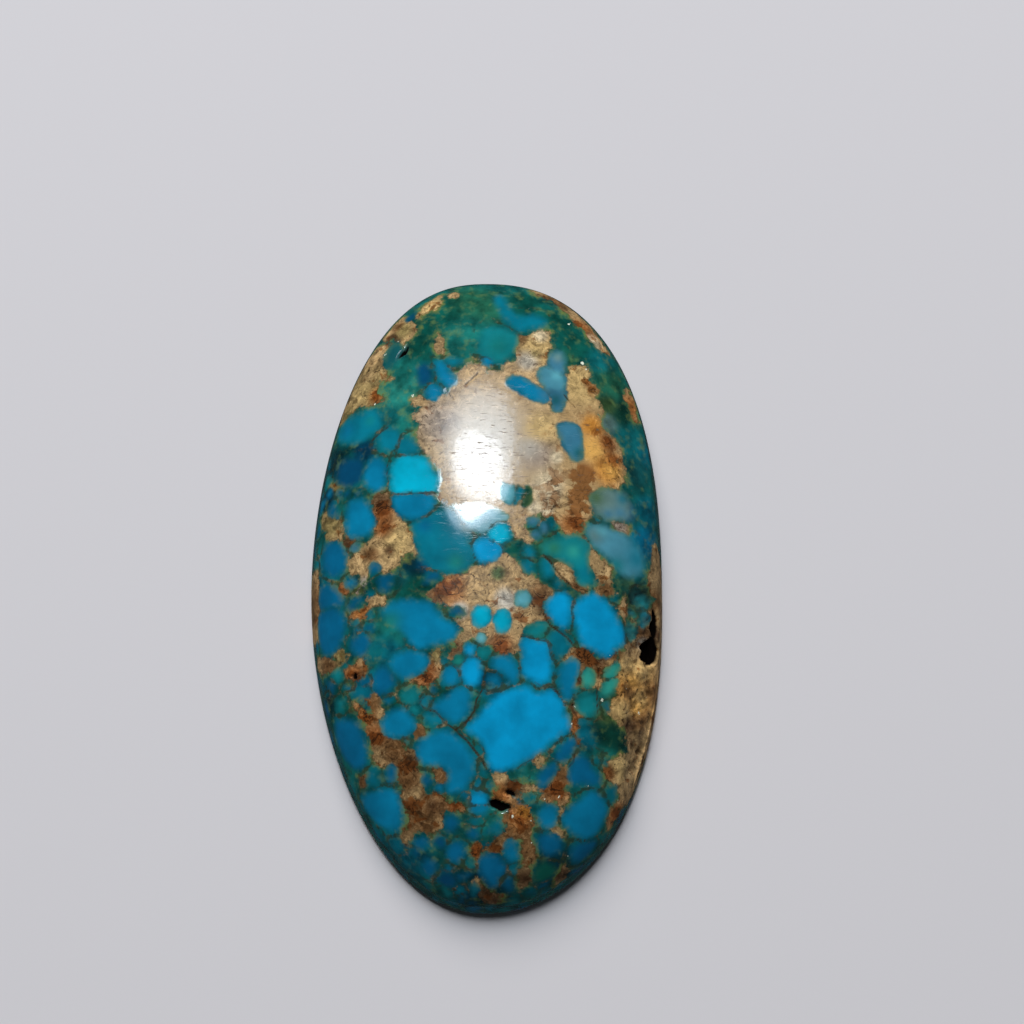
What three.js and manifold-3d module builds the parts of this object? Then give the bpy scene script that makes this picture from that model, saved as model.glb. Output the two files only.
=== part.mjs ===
// An oval turquoise cabochon: one stone, ground flat on the back and polished to a low dome.
// Millimetres. +Z rises from the flat back, +Y runs along the stone and +X across it.
// The origin is the middle of the flat back.
import * as THREE from "three";
import { mergeVertices } from "three/addons/utils/BufferGeometryUtils.js";
import Module from "manifold-3d";

// Driving dimensions
const LENGTH = 47.4;
const WIDTH = 26;
const HEIGHT = 6.6;

// Outline: a superellipse, fuller towards its right side and its upper end than its left and lower ones
const FULLNESS = 2.19;
const FULLER_TO_RIGHT = 0.21;
const FULLER_TO_TOP = 0.115;

// Edge: a chamfer round the back, then a girdle wall that leans in to meet the dome
const BACK_CHAMFER = 0.5;
const GIRDLE_TOP = 1.6;
const GIRDLE_LEAN = 0.2;

// Dome profile: a larger crown gives a flatter middle, a larger shoulder a steeper edge
const CROWN = 2.4;
const SHOULDER = 1.8;

// Polishing flat on the right shoulder: its crest lies this far out along its facing direction
const FLAT_FACING = THREE.MathUtils.degToRad(16);
const FLAT_DISTANCE = 12.45;
const FLAT_CREST_HEIGHT = 3.75;
const FLAT_SLOPE = Math.tan(THREE.MathUtils.degToRad(42));
const FLAT_EASING = 0.12;

// Unpolished hollow of soft matrix along the right shoulder
const HOLLOW = { inner: 9.7, outer: 12.9, top: 0.4, bottom: -15.6, depth: 0.6, fade: 1.1 };
const HOLLOW_LUMPS = { depth: 0.22, across: 2.1, along: 1.6 };

// Natural pits: where each lies, its half sizes along its own axes, and its turn about Z in degrees.
// A pit lies on the surface. The vug and its crack state their height, because they open through the side.
const PITS = [
  { name: "side vug", x: 12.2, y: -5.0, z: 2.5, across: 0.8, along: 1.15, deep: 0.9, turn: -4 },
  { name: "crack above the vug", x: 12.5, y: -2.9, z: 2.4, across: 0.35, along: 1.3, deep: 0.5, turn: 3 },
  { name: "lower pit", x: 1.05, y: -16.5, across: 0.3, along: 0.75, deep: 0.45, turn: 66 },
  { name: "lower pit, second mouth", x: 1.6, y: -15.6, across: 0.26, along: 0.55, deep: 0.35, turn: 51 },
  { name: "edge pit", x: -9.4, y: 16.3, across: 0.34, along: 0.5, deep: 0.4, turn: -30 },
  { name: "crevice beside a nodule", x: -6.35, y: 17.2, across: 0.24, along: 0.95, deep: 0.4, turn: -36 },
  { name: "left matrix pit", x: -9.4, y: -7.1, across: 0.3, along: 0.32, deep: 0.35, turn: 0 },
];

// Facets: around the outline, up the dome, and in the subdivision of each pit
const SEGMENTS = 104;
const DOME_RINGS = 26;
const PIT_DETAIL = 2;
const PIT_LUMP = 0.16;

const STONE_COLOUR = "#12809a";
const STONE_ROUGHNESS = 0.22;

const wasm = await Module();
wasm.setup();

// How far the outline stands out from the unit circle in a direction of the unit disc
function outlineStretch(across, along) {
  const radius = Math.hypot(across, along);
  if (radius === 0) return 1;
  const c = across / radius;
  const s = along / radius;
  const n = FULLNESS + FULLER_TO_RIGHT * c + FULLER_TO_TOP * s;
  return Math.pow(Math.pow(Math.abs(c), n) + Math.pow(Math.abs(s), n), -1 / n);
}

// Share of the way from the middle to the outline, 0 to 1, at a place on the stone
function reach(x, y) {
  const across = x / (WIDTH / 2);
  const along = y / (LENGTH / 2);
  return Math.hypot(across, along) / outlineStretch(across, along);
}

const girdleReach = 1 - GIRDLE_LEAN / (WIDTH / 2);

// A smaller of two heights, with the crease between them eased
function easedMin(a, b, easing) {
  const overlap = Math.max(easing - Math.abs(a - b), 0) / easing;
  return Math.min(a, b) - (overlap * overlap * easing) / 4;
}

function flatHeight(x, y) {
  const out = x * Math.cos(FLAT_FACING) + y * Math.sin(FLAT_FACING) - FLAT_DISTANCE;
  return FLAT_CREST_HEIGHT - FLAT_SLOPE * out;
}

// Depth of the matrix hollow below the polished dome
function hollowDepth(x, y) {
  const { smoothstep } = THREE.MathUtils;
  const inside = smoothstep(x, HOLLOW.inner, HOLLOW.inner + HOLLOW.fade);
  const beforeEdge = 1 - smoothstep(x, HOLLOW.outer - HOLLOW.fade, HOLLOW.outer);
  const above = smoothstep(y, HOLLOW.bottom, HOLLOW.bottom + 2 * HOLLOW.fade);
  const below = 1 - smoothstep(y, HOLLOW.top - 2 * HOLLOW.fade, HOLLOW.top);
  const lumps = Math.sin(x * HOLLOW_LUMPS.across) * Math.sin(y * HOLLOW_LUMPS.along);
  return inside * beforeEdge * above * below * (HOLLOW.depth + HOLLOW_LUMPS.depth * lumps);
}

// Height of the polished face above the flat back
function faceHeight(x, y) {
  const share = Math.min(reach(x, y) / girdleReach, 1);
  const rise = Math.pow(1 - Math.pow(share, CROWN), 1 / SHOULDER);
  const dome = GIRDLE_TOP + (HEIGHT - GIRDLE_TOP) * rise;
  const polished = easedMin(dome, flatHeight(x, y), FLAT_EASING);
  return Math.max(polished - hollowDepth(x, y), GIRDLE_TOP);
}

// Section of the stone as [reach, height], from the middle of the back round to the crown
function sectionPoints() {
  const points = [
    new THREE.Vector2(0, 0),
    new THREE.Vector2(1 - BACK_CHAMFER / (WIDTH / 2), 0),
    new THREE.Vector2(1, BACK_CHAMFER),
  ];
  for (let ring = 0; ring <= DOME_RINGS; ring++) {
    const turn = (Math.PI / 2) * (1 - ring / DOME_RINGS);
    const share = Math.pow(Math.sin(turn), 2 / CROWN);
    points.push(new THREE.Vector2(ring === DOME_RINGS ? 0 : girdleReach * share, GIRDLE_TOP));
  }
  return points;
}

// The section turned into a disc, stretched to the outline, with the face raised to its height
function stoneGeometry() {
  const geometry = new THREE.LatheGeometry(sectionPoints(), SEGMENTS);
  geometry.rotateX(Math.PI / 2);
  const place = geometry.getAttribute("position");
  for (let i = 0; i < place.count; i++) {
    const across = place.getX(i);
    const along = place.getY(i);
    const stretch = outlineStretch(across, along);
    const x = (across * stretch * WIDTH) / 2;
    const y = (along * stretch * LENGTH) / 2;
    const onFace = place.getZ(i) >= GIRDLE_TOP;
    place.setXYZ(i, x, y, onFace ? faceHeight(x, y) : place.getZ(i));
  }
  return geometry;
}

// A lumpy round void, centred where its pit opens
function pitGeometry({ x, y, z = faceHeight(x, y), across, along, deep, turn }) {
  const geometry = new THREE.IcosahedronGeometry(1, PIT_DETAIL);
  const place = geometry.getAttribute("position");
  const point = new THREE.Vector3();
  for (let i = 0; i < place.count; i++) {
    point.fromBufferAttribute(place, i);
    const lump = Math.sin(3 * point.x + x) * Math.sin(4 * point.y + y);
    point.multiplyScalar(1 + PIT_LUMP * lump);
    place.setXYZ(i, point.x, point.y, point.z);
  }
  geometry.scale(across, along, deep);
  geometry.rotateZ(THREE.MathUtils.degToRad(turn));
  return geometry.translate(x, y, z);
}

function solidOf(geometry) {
  geometry.deleteAttribute("normal");
  geometry.deleteAttribute("uv");
  const merged = mergeVertices(geometry);
  return new wasm.Manifold(
    new wasm.Mesh({
      numProp: 3,
      vertProperties: merged.getAttribute("position").array,
      triVerts: new Uint32Array(merged.index.array),
    }),
  );
}

function geometryOf(solid) {
  const mesh = solid.getMesh();
  const geometry = new THREE.BufferGeometry();
  geometry.setAttribute("position", new THREE.BufferAttribute(mesh.vertProperties, 3));
  geometry.setIndex(new THREE.BufferAttribute(mesh.triVerts, 1));
  geometry.computeVertexNormals();
  return geometry;
}

function turquoise() {
  let solid = solidOf(stoneGeometry());
  for (const pit of PITS) solid = solid.subtract(solidOf(pitGeometry(pit)));
  const material = new THREE.MeshStandardMaterial({
    color: STONE_COLOUR,
    roughness: STONE_ROUGHNESS,
    metalness: 0,
  });
  const stone = new THREE.Mesh(geometryOf(solid), material);
  stone.name = "turquoise";
  return stone;
}

const cabochon = new THREE.Group();
cabochon.add(turquoise());

export default cabochon;
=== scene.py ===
import math

import bpy
import numpy as np
from mathutils import Matrix, Vector, noise


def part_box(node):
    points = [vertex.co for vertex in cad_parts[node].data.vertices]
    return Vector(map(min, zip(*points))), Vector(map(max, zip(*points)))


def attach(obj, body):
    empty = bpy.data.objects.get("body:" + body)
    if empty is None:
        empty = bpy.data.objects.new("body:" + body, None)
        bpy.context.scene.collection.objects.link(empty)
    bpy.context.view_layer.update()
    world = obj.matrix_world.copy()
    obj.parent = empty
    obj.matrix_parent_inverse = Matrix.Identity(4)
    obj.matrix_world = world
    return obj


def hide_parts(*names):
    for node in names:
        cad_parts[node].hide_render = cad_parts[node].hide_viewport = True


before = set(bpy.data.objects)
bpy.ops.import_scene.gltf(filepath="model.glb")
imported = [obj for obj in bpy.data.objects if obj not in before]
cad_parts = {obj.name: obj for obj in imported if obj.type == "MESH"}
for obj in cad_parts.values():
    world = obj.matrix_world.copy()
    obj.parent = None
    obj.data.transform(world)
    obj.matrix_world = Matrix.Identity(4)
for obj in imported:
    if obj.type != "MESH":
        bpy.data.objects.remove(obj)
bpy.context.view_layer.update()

# The stone: an oval cabochon of turquoise nodules held in tan and rust sandstone matrix, one natural piece.
# It was sawn from the vein, ground on wheels to a low dome with a flat back, and polished.
# The matrix is softer than the turquoise, so it lies a little lower. On one shoulder it is open and rough.

# Shape of the stone, in millimetres, from the box of its solid
MM = 0.001
low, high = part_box("turquoise")
HALF_WIDTH = (high.x - low.x) / 2 / MM
HALF_LENGTH = (high.y - low.y) / 2 / MM
HEIGHT = high.z / MM
FULLNESS = 2.19
FULLER_TO_RIGHT = 0.21
FULLER_TO_TOP = 0.115
GIRDLE_TOP = 1.6
GIRDLE_LEAN = 0.2
GIRDLE_REACH = 1 - GIRDLE_LEAN / HALF_WIDTH
CROWN = 2.4
SHOULDER = 1.8

# A flat that the wheel left on the right shoulder
FLAT_FACING = math.radians(16)
FLAT_DISTANCE = 12.45
FLAT_CREST_HEIGHT = 3.75
FLAT_SLOPE = math.tan(math.radians(42))
FLAT_EASING = 0.12

# The open matrix on the right shoulder, with the waves of its floor
HOLLOW_INNER, HOLLOW_OUTER = 9.7, 12.9
HOLLOW_TOP, HOLLOW_BOTTOM = 0.4, -15.6
HOLLOW_DEPTH = 0.6
HOLLOW_FADE = 1.1
WAVE_DEPTH = 0.22
WAVES_ACROSS, WAVES_ALONG = 2.1, 1.6


def eased(value, start, end):
    """0 before the start, 1 past the end, and a smooth rise between."""
    share = np.clip((value - start) / (end - start), 0, 1)
    return share * share * (3 - 2 * share)


def outline_stretch(across, along):
    """How far the outline stands out from the unit circle in a direction of the unit disc."""
    radius = np.hypot(across, along)
    cosine = np.divide(across, radius, out=np.ones_like(radius), where=radius > 0)
    sine = np.divide(along, radius, out=np.zeros_like(radius), where=radius > 0)
    fullness = FULLNESS + FULLER_TO_RIGHT * cosine + FULLER_TO_TOP * sine
    return (np.abs(cosine) ** fullness + np.abs(sine) ** fullness) ** (-1 / fullness)


def on_stone(across, along):
    """The place in millimetres of a point of the unit disc."""
    stretch = outline_stretch(across, along)
    return across * stretch * HALF_WIDTH, along * stretch * HALF_LENGTH


def hollow_depth(x, y):
    """Depth of the open matrix below the polished face."""
    inside = eased(x, HOLLOW_INNER, HOLLOW_INNER + HOLLOW_FADE)
    before_edge = 1 - eased(x, HOLLOW_OUTER - HOLLOW_FADE, HOLLOW_OUTER)
    above = eased(y, HOLLOW_BOTTOM, HOLLOW_BOTTOM + 2 * HOLLOW_FADE)
    below = 1 - eased(y, HOLLOW_TOP - 2 * HOLLOW_FADE, HOLLOW_TOP)
    waves = np.sin(WAVES_ACROSS * x) * np.sin(WAVES_ALONG * y)
    return inside * before_edge * above * below * (HOLLOW_DEPTH + WAVE_DEPTH * waves)


def face_height(x, y, share):
    """Height of the polished face above the back, at a share of the way from the middle to the girdle."""
    rise = np.maximum(1 - np.minimum(share, 1) ** CROWN, 0) ** (1 / SHOULDER)
    dome = GIRDLE_TOP + (HEIGHT - GIRDLE_TOP) * rise
    out = x * math.cos(FLAT_FACING) + y * math.sin(FLAT_FACING) - FLAT_DISTANCE
    flat = FLAT_CREST_HEIGHT - FLAT_SLOPE * out
    overlap = np.maximum(FLAT_EASING - np.abs(dome - flat), 0) / FLAT_EASING
    polished = np.minimum(dome, flat) - overlap**2 * FLAT_EASING / 4
    return np.maximum(polished - hollow_depth(x, y), GIRDLE_TOP)


# Mesh of the stone: an even grid over the face with no pole, rings down the shoulder and girdle, and a
# grid half as fine over the back. The face's grid ends at a share of the way to the girdle.
ACROSS, ALONG = 176, 320
GRID_SHARE = 0.94


def disc_grid(across, along):
    """A square grid bent to the unit disc, row by row."""
    square_x, square_y = np.meshgrid(np.linspace(-1, 1, across + 1), np.linspace(-1, 1, along + 1))
    wide = np.abs(square_x) > np.abs(square_y)
    longer = np.where(wide, square_x, square_y)
    shorter = np.where(wide, square_y, square_x)
    lean = math.pi / 4 * shorter / np.where(longer == 0, 1, longer)
    turn = np.where(wide, lean, math.pi / 2 - lean)
    return (longer * np.cos(turn)).ravel(), (longer * np.sin(turn)).ravel()


def grid_cells(across, along):
    """The grid's squares, each as its four corners anticlockwise."""
    corner = (np.arange(along)[:, None] * (across + 1) + np.arange(across)).ravel()
    return np.stack([corner, corner + 1, corner + across + 2, corner + across + 1], 1)


def grid_rim(across, along):
    """The grid's outer points in order, anticlockwise from its first corner."""
    row = across + 1
    bottom = np.arange(across)
    right = np.arange(along) * row + across
    top = along * row + np.arange(across, 0, -1)
    left = np.arange(along, 0, -1) * row
    return np.concatenate([bottom, right, top, left])


disc_x, disc_y = disc_grid(ACROSS, ALONG)
x, y = on_stone(disc_x * GRID_SHARE * GIRDLE_REACH, disc_y * GRID_SHARE * GIRDLE_REACH)
z = face_height(x, y, np.hypot(disc_x, disc_y) * GRID_SHARE)
points = [np.stack([x, y, z], 1)]
polygons = [cell.tolist() for cell in grid_cells(ACROSS, ALONG)]
rim = grid_rim(ACROSS, ALONG)
rim_x, rim_y = disc_x[rim], disc_y[rim]
grid_edge_height = z[rim]

edge = np.stack(on_stone(rim_x, rim_y), 1)
along_edge = np.roll(edge, -1, axis=0) - np.roll(edge, 1, axis=0)
outward = np.stack([along_edge[:, 1], -along_edge[:, 0]], 1)
outward /= np.linalg.norm(outward, axis=1)[:, None]

# Rings from the grid's edge down to the back: steps of even arc on the shoulder, then the wall and the
# chamfer, each by its reach and height
SHOULDER_RINGS = 11
WALL = [
    (0.9885, 1.4), (0.993, 1.1), (0.9975, 0.8), (0.9995, 0.6), (0.9965, 0.4), (0.98, 0.19), (0.968, 0.05),
]
shoulder_start = math.asin(GRID_SHARE ** (CROWN / 2))
rings = []
for step in range(1, SHOULDER_RINGS + 1):
    turn = shoulder_start + (math.pi / 2 - shoulder_start) * step / SHOULDER_RINGS
    share = math.sin(turn) ** (2 / CROWN)
    ring_x, ring_y = on_stone(rim_x * share * GIRDLE_REACH, rim_y * share * GIRDLE_REACH)
    rings.append((ring_x, ring_y, face_height(ring_x, ring_y, np.full(len(rim), share))))
for reach, ring_height in WALL:
    ring_x, ring_y = on_stone(rim_x * reach, rim_y * reach)
    rings.append((ring_x, ring_y, np.full(len(rim), ring_height)))

# The markings are drawn in plan. They run on over the rim, rolled outwards by a share of its drop.
UNROLL = 0.7
markings_at = [points[0][:, :2]]
previous = rim
count = len(points[0])
for ring_x, ring_y, ring_z in rings:
    current = count + np.arange(len(rim))
    quads = np.stack([previous, current, np.roll(current, -1), np.roll(previous, -1)], 1)
    polygons += [quad.tolist() for quad in quads]
    points.append(np.stack([ring_x, ring_y, ring_z], 1))
    drop = UNROLL * np.maximum(grid_edge_height - ring_z, 0)
    markings_at.append(np.stack([ring_x, ring_y], 1) + outward * drop[:, None])
    previous = current
    count += len(rim)

# The back's grid meets every second point of the last ring. Its markings lie well beside the face's.
BACK_REACH = 0.955
BACK_OFFSET = 60.0
disc_x, disc_y = disc_grid(ACROSS // 2, ALONG // 2)
x, y = on_stone(disc_x * BACK_REACH, disc_y * BACK_REACH)
points.append(np.stack([x, y, np.zeros(len(x))], 1))
back = count + grid_rim(ACROSS // 2, ALONG // 2)
for i in range(len(back)):
    j = (i + 1) % len(back)
    ring_ends = [previous[(2 * i + 2) % len(rim)], previous[2 * i + 1]]
    polygons.append([int(n) for n in [previous[2 * i], back[i], back[j], *ring_ends]])
polygons += [cell[::-1].tolist() for cell in grid_cells(ACROSS // 2, ALONG // 2) + count]
points = np.concatenate(points)
markings_at.append(points[count:, :2] + np.array([BACK_OFFSET, 0]))
markings_at = np.concatenate(markings_at)
on_face = markings_at[:, 0] < BACK_OFFSET / 2


# Colours, as sRGB hex values
def paint(code):
    """An sRGB hex colour as linear values."""
    shares = [int(code[i : i + 2], 16) / 255 for i in (1, 3, 5)]
    return [s / 12.92 if s <= 0.04045 else ((s + 0.055) / 1.055) ** 2.4 for s in shares]


TONES = {
    "sky": "#0498CA",
    "blue": "#057CA2",
    "deep": "#04648A",
    "navy": "#044A6C",
    "ink_and_shade": "#04303F",
    "cyan": "#02B2D0",
    "teal": "#05768A",
    "lagoon": "#0F7F84",
    "sea": "#1E8478",
    "mint": "#2F9A8A",
    "leaf": "#2E7B5C",
    "pine": "#0B5A4C",
    "shade": "#12706A",
    "bottle": "#14595C",
    "forest": "#0B3B2C",
    "moss": "#4C6B3C",
    "slate": "#3C7890",
    "mist_and_sheen": "#6E8E88",
    "haze_and_sheen": "#4E92A4",
    "pale": "#62AEBA",
    "milk_and_sheen": "#86B8C4",
    "tan": "#BC9A6A",
    "straw_and_sheen": "#BDB6A8",
    "cream": "#D6C3A0",
    "wheat": "#CFAE72",
    "sand": "#A3845A",
    "olive": "#857546",
    "brown": "#6E4A2A",
    "umber": "#44291A",
    "rust": "#8E4F22",
    "sienna": "#A8642C",
    "gold": "#D08A34",
    "honey_and_glow": "#F0B45C",
    "mauve": "#9E8E80",
}
TONES = {name: np.array(paint(code)) for name, code in TONES.items()}

# Nodules of turquoise, each an outline of its tone in millimetres, top of the stone first
NODULES = [
    ("navy", [(-6.5, 20.5), (-5.5, 20.9), (-5.5, 20.3), (-6.1, 20.0)]),
    ("teal", [(0.4, 21.8), (1.1, 22.0), (1.6, 21.0), (1.9, 20.2), (2.6, 20.0), (3.4, 20.2), (4.2, 19.9),
        (4.4, 19.5), (3.8, 19.0), (3.0, 19.1), (2.6, 18.7), (1.9, 18.9), (1.3, 19.6), (0.9, 20.6)]),
    ("lagoon", [(-0.4, 18.9), (0.8, 19.1), (1.9, 18.6), (2.2, 17.9), (2.0, 17.0), (1.5, 16.3), (0.6, 16.0),
        (-0.3, 16.4), (-0.6, 17.4)]),
    ("bottle", [(-7.2, 17.95), (-6.65, 18.1), (-6.1, 17.5), (-6.4, 17.0), (-7.0, 16.2), (-7.5, 16.0),
        (-7.7, 16.5), (-7.45, 17.5)]),
    ("navy", [(-5.1, 15.9), (-4.6, 16.2), (-4.1, 15.6), (-4.0, 14.9), (-4.4, 14.4), (-4.9, 14.3),
        (-5.2, 15.0)]),
    ("blue", [(-3.9, 16.2), (-3.2, 16.2), (-2.8, 15.6), (-2.2, 14.7), (-2.3, 14.3), (-2.8, 14.2),
        (-3.3, 14.5), (-3.5, 15.1)]),
    ("teal", [(-3.0, 16.5), (-2.3, 16.5), (-1.9, 16.2), (-2.6, 15.9)]),
    ("blue", [(-0.5, 16.4), (0.0, 16.8), (0.5, 16.4), (0.3, 15.9), (-0.2, 15.8)]),
    ("blue", [(-4.5, 13.9), (-4.1, 14.4), (-3.5, 14.2), (-3.3, 13.7), (-3.7, 13.2), (-4.3, 13.3)]),
    ("slate", [(4.7, 17.0), (5.3, 17.2), (5.7, 16.8), (5.7, 15.9), (5.5, 15.1), (4.6, 15.2), (4.4, 16.3)]),
    ("haze_and_sheen", [(3.7, 15.5), (4.3, 16.0), (5.0, 15.9), (5.7, 15.3), (5.8, 14.4), (5.3, 13.6), (4.4, 13.7),
        (3.9, 14.8)]),
    ("blue", [(1.3, 14.7), (1.8, 15.0), (2.6, 14.9), (3.2, 14.5), (3.9, 14.2), (4.6, 14.0), (5.1, 13.5),
        (5.0, 12.9), (4.3, 12.9), (3.5, 13.1), (2.8, 13.5), (2.0, 13.9), (1.4, 14.3)]),
    ("slate", [(4.2, 14.6), (5.2, 14.6), (5.8, 13.9), (5.7, 13.0), (5.4, 12.4), (5.0, 12.2), (4.6, 12.8),
        (4.3, 13.4)]),
    ("slate", [(5.0, 11.3), (5.6, 11.5), (6.7, 11.3), (7.0, 10.7), (7.0, 9.9), (7.1, 9.2), (6.9, 8.6),
        (6.4, 8.5), (6.1, 8.9), (5.7, 9.4), (5.3, 10.3)]),
    ("teal", [(-11.6, 12.0), (-9.9, 12.5), (-8.4, 12.8), (-7.7, 12.2), (-7.7, 11.5), (-8.1, 11.0),
        (-8.9, 10.4), (-10.2, 10.3), (-11.6, 10.8)]),
    ("teal", [(-8.1, 10.2), (-7.8, 10.9), (-7.0, 11.2), (-6.4, 10.8), (-6.2, 10.1), (-6.7, 9.5),
        (-7.6, 9.4)]),
    ("teal", [(-6.3, 10.4), (-5.6, 10.3), (-5.0, 9.6), (-5.2, 9.1), (-6.0, 9.1), (-6.6, 9.4)]),
    ("cyan", [(-6.8, 8.4), (-6.2, 8.95), (-5.25, 8.95), (-4.4, 8.65), (-4.0, 8.0), (-3.9, 7.5), (-3.4, 7.2),
        (-3.5, 6.5), (-3.95, 6.1), (-5.2, 6.05), (-6.1, 6.1), (-6.75, 6.25), (-6.95, 7.2)]),
    ("blue", [(-6.8, 5.95), (-5.2, 6.0), (-4.0, 6.0), (-3.75, 5.4), (-3.85, 4.85), (-4.5, 4.3), (-5.5, 4.1),
        (-6.1, 4.35), (-6.7, 4.85), (-6.9, 5.5)]),
    ("blue", [(-8.6, 8.75), (-7.85, 9.0), (-7.35, 8.3), (-7.3, 7.15), (-7.65, 6.5), (-8.2, 6.4),
        (-8.8, 6.8), (-9.1, 7.65)]),
    ("navy", [(-10.3, 9.1), (-9.2, 9.0), (-9.0, 7.95), (-9.25, 7.15), (-10.05, 6.85), (-10.8, 7.15),
        (-11.1, 7.9), (-10.8, 8.75)]),
    ("blue", [(-9.95, 5.75), (-9.25, 5.9), (-8.55, 5.55), (-8.25, 4.6), (-8.2, 3.7), (-8.55, 3.15),
        (-9.3, 2.95), (-10.0, 3.1), (-10.3, 3.85), (-10.25, 4.75), (-10.15, 5.35)]),
    ("deep", [(-11.6, 2.95), (-10.85, 2.85), (-10.4, 2.35), (-10.15, 1.6), (-10.2, 0.9), (-10.65, 0.4),
        (-11.25, 0.25), (-11.85, 0.95), (-12.05, 1.85), (-11.85, 2.55)]),
    ("slate", [(-9.85, 2.2), (-9.5, 2.55), (-9.15, 2.2), (-9.5, 1.85)]),
    ("deep", [(-8.55, 0.7), (-8.1, 1.2), (-7.55, 0.7), (-8.0, 0.15)]),
    ("teal", [(-4.4, 4.35), (-3.6, 4.7), (-2.8, 4.8), (-2.2, 4.35), (-1.85, 3.5), (-1.35, 2.95),
        (-1.1, 2.05), (-1.0, 1.2), (-1.5, 0.4), (-2.3, 0.15), (-3.3, 0.25), (-4.35, 0.7), (-4.85, 1.3),
        (-5.0, 2.25), (-5.3, 3.1), (-5.4, 3.85)]),
    ("sky", [(-0.95, 2.0), (-0.7, 2.55), (-0.2, 2.7), (0.4, 2.5), (1.0, 2.2), (1.0, 1.6), (0.6, 1.0),
        (-0.2, 0.8), (-0.8, 1.1)]),
    ("cyan", [(0.1, 3.3), (0.55, 3.7), (1.25, 3.8), (1.6, 3.15), (1.55, 2.65), (1.1, 2.25), (0.55, 2.3),
        (0.1, 2.7)]),
    # The milk nodule lies under the window's highlight: its pale tone is partly its own and partly painted
    # reflection
    ("milk_and_sheen", [(-2.2, 5.0), (-1.9, 4.1), (-1.2, 3.35), (-0.3, 3.1), (0.2, 3.4), (0.8, 3.85), (1.5, 4.1),
        (1.3, 4.5), (0.3, 4.9), (-1.0, 5.2)]),
    ("pale", [(0.7, 6.6), (1.1, 6.75), (1.7, 6.6), (2.1, 6.5), (2.1, 5.8), (1.9, 5.3), (1.5, 5.2),
        (0.9, 5.8)]),
    ("teal", [(2.1, 6.5), (2.55, 6.4), (2.6, 5.7), (2.3, 5.2), (1.9, 5.25), (2.1, 5.8)]),
    ("forest", [(2.7, 6.4), (3.0, 6.5), (3.2, 5.9), (3.0, 5.1), (2.5, 5.1), (2.7, 5.6)]),
    ("slate", [(2.8, 4.0), (3.3, 4.25), (3.7, 4.0), (3.3, 3.55)]),
    ("slate", [(3.75, 3.5), (4.0, 3.9), (4.35, 3.5), (4.1, 3.0)]),
    ("slate", [(3.0, 2.9), (3.5, 3.2), (3.95, 2.9), (3.5, 2.55)]),
    ("pine", [(1.55, 1.9), (1.8, 2.35), (2.15, 2.0), (2.1, 1.4), (1.7, 1.35)]),
    ("teal", [(2.55, 1.7), (2.9, 2.15), (3.35, 1.8), (3.3, 1.3), (2.8, 1.2)]),
    ("teal", [(2.45, 0.7), (2.8, 1.15), (3.25, 0.8), (3.2, 0.2), (2.7, 0.1)]),
    ("lagoon", [(4.0, 2.1), (4.6, 2.6), (5.5, 2.75), (6.3, 3.0), (7.0, 2.6), (7.3, 2.0), (7.15, 1.3),
        (7.35, 0.6), (7.7, 0.0), (7.6, -0.5), (6.9, -0.6), (6.45, -0.2), (6.35, 0.5), (5.8, 0.95),
        (5.1, 1.1), (4.4, 1.4)]),
    ("teal", [(4.1, 1.2), (4.5, 1.0), (4.9, 0.5), (4.8, 0.0), (4.3, -0.1), (4.0, 0.4)]),
    # The haze and mist nodules on the right shoulder are greyish partly in their own tone and partly as a
    # painted reflection
    ("haze_and_sheen", [(7.2, 3.4), (7.6, 3.9), (8.4, 3.9), (9.3, 3.5), (10.3, 3.2), (11.1, 2.6), (11.5, 1.5),
        (11.3, 0.6), (10.4, 0.2), (9.6, 0.5), (9.0, 1.4), (8.3, 1.9), (7.5, 2.4)]),
    ("mist_and_sheen", [(7.4, 6.1), (8.2, 6.4), (9.3, 6.6), (10.2, 6.3), (10.5, 5.4), (10.2, 4.6), (9.2, 4.3),
        (8.2, 4.5), (7.6, 5.2)]),
    ("cyan", [(-1.2, -3.1), (-0.9, -2.5), (-0.3, -2.3), (0.3, -2.6), (0.35, -3.3), (-0.1, -3.85),
        (-0.8, -3.8)]),
    ("cyan", [(0.5, -3.4), (0.7, -2.8), (1.2, -2.55), (1.6, -2.9), (1.7, -3.6), (1.4, -4.2), (0.9, -4.2)]),
    ("pale", [(1.95, -1.8), (2.3, -1.25), (2.9, -1.2), (3.25, -1.7), (2.9, -2.3), (2.3, -2.3)]),
    ("pale", [(-0.75, -4.7), (-0.45, -4.15), (-0.1, -4.5), (-0.3, -5.0)]),
    ("sky", [(-1.6, -5.4), (-1.2, -5.0), (-0.75, -5.4), (-1.1, -5.9)]),
    ("lagoon", [(-0.6, -5.6), (-0.2, -5.25), (0.3, -5.6), (0.0, -6.05), (-0.4, -6.0)]),
    ("sea", [(-2.4, -6.2), (-2.0, -5.8), (-1.6, -6.1), (-2.0, -6.5)]),
    ("blue", [(-7.4, -2.2), (-6.5, -1.8), (-5.0, -1.9), (-3.9, -2.0), (-3.6, -2.7), (-3.0, -3.4),
        (-2.2, -3.8), (-2.1, -4.4), (-2.7, -4.8), (-3.6, -5.0), (-4.3, -5.3), (-5.0, -5.2), (-5.5, -4.6),
        (-6.2, -4.1), (-6.8, -3.5), (-7.3, -2.9)]),
    ("deep", [(-9.8, -4.8), (-9.4, -4.1), (-8.7, -4.0), (-8.3, -4.7), (-8.5, -5.5), (-9.2, -5.7)]),
    ("deep", [(-12.4, -2.2), (-11.0, -2.0), (-10.2, -2.6), (-10.1, -3.5), (-10.4, -4.4), (-10.9, -5.2),
        (-11.6, -5.5), (-12.4, -4.9), (-12.6, -3.6)]),
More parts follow.
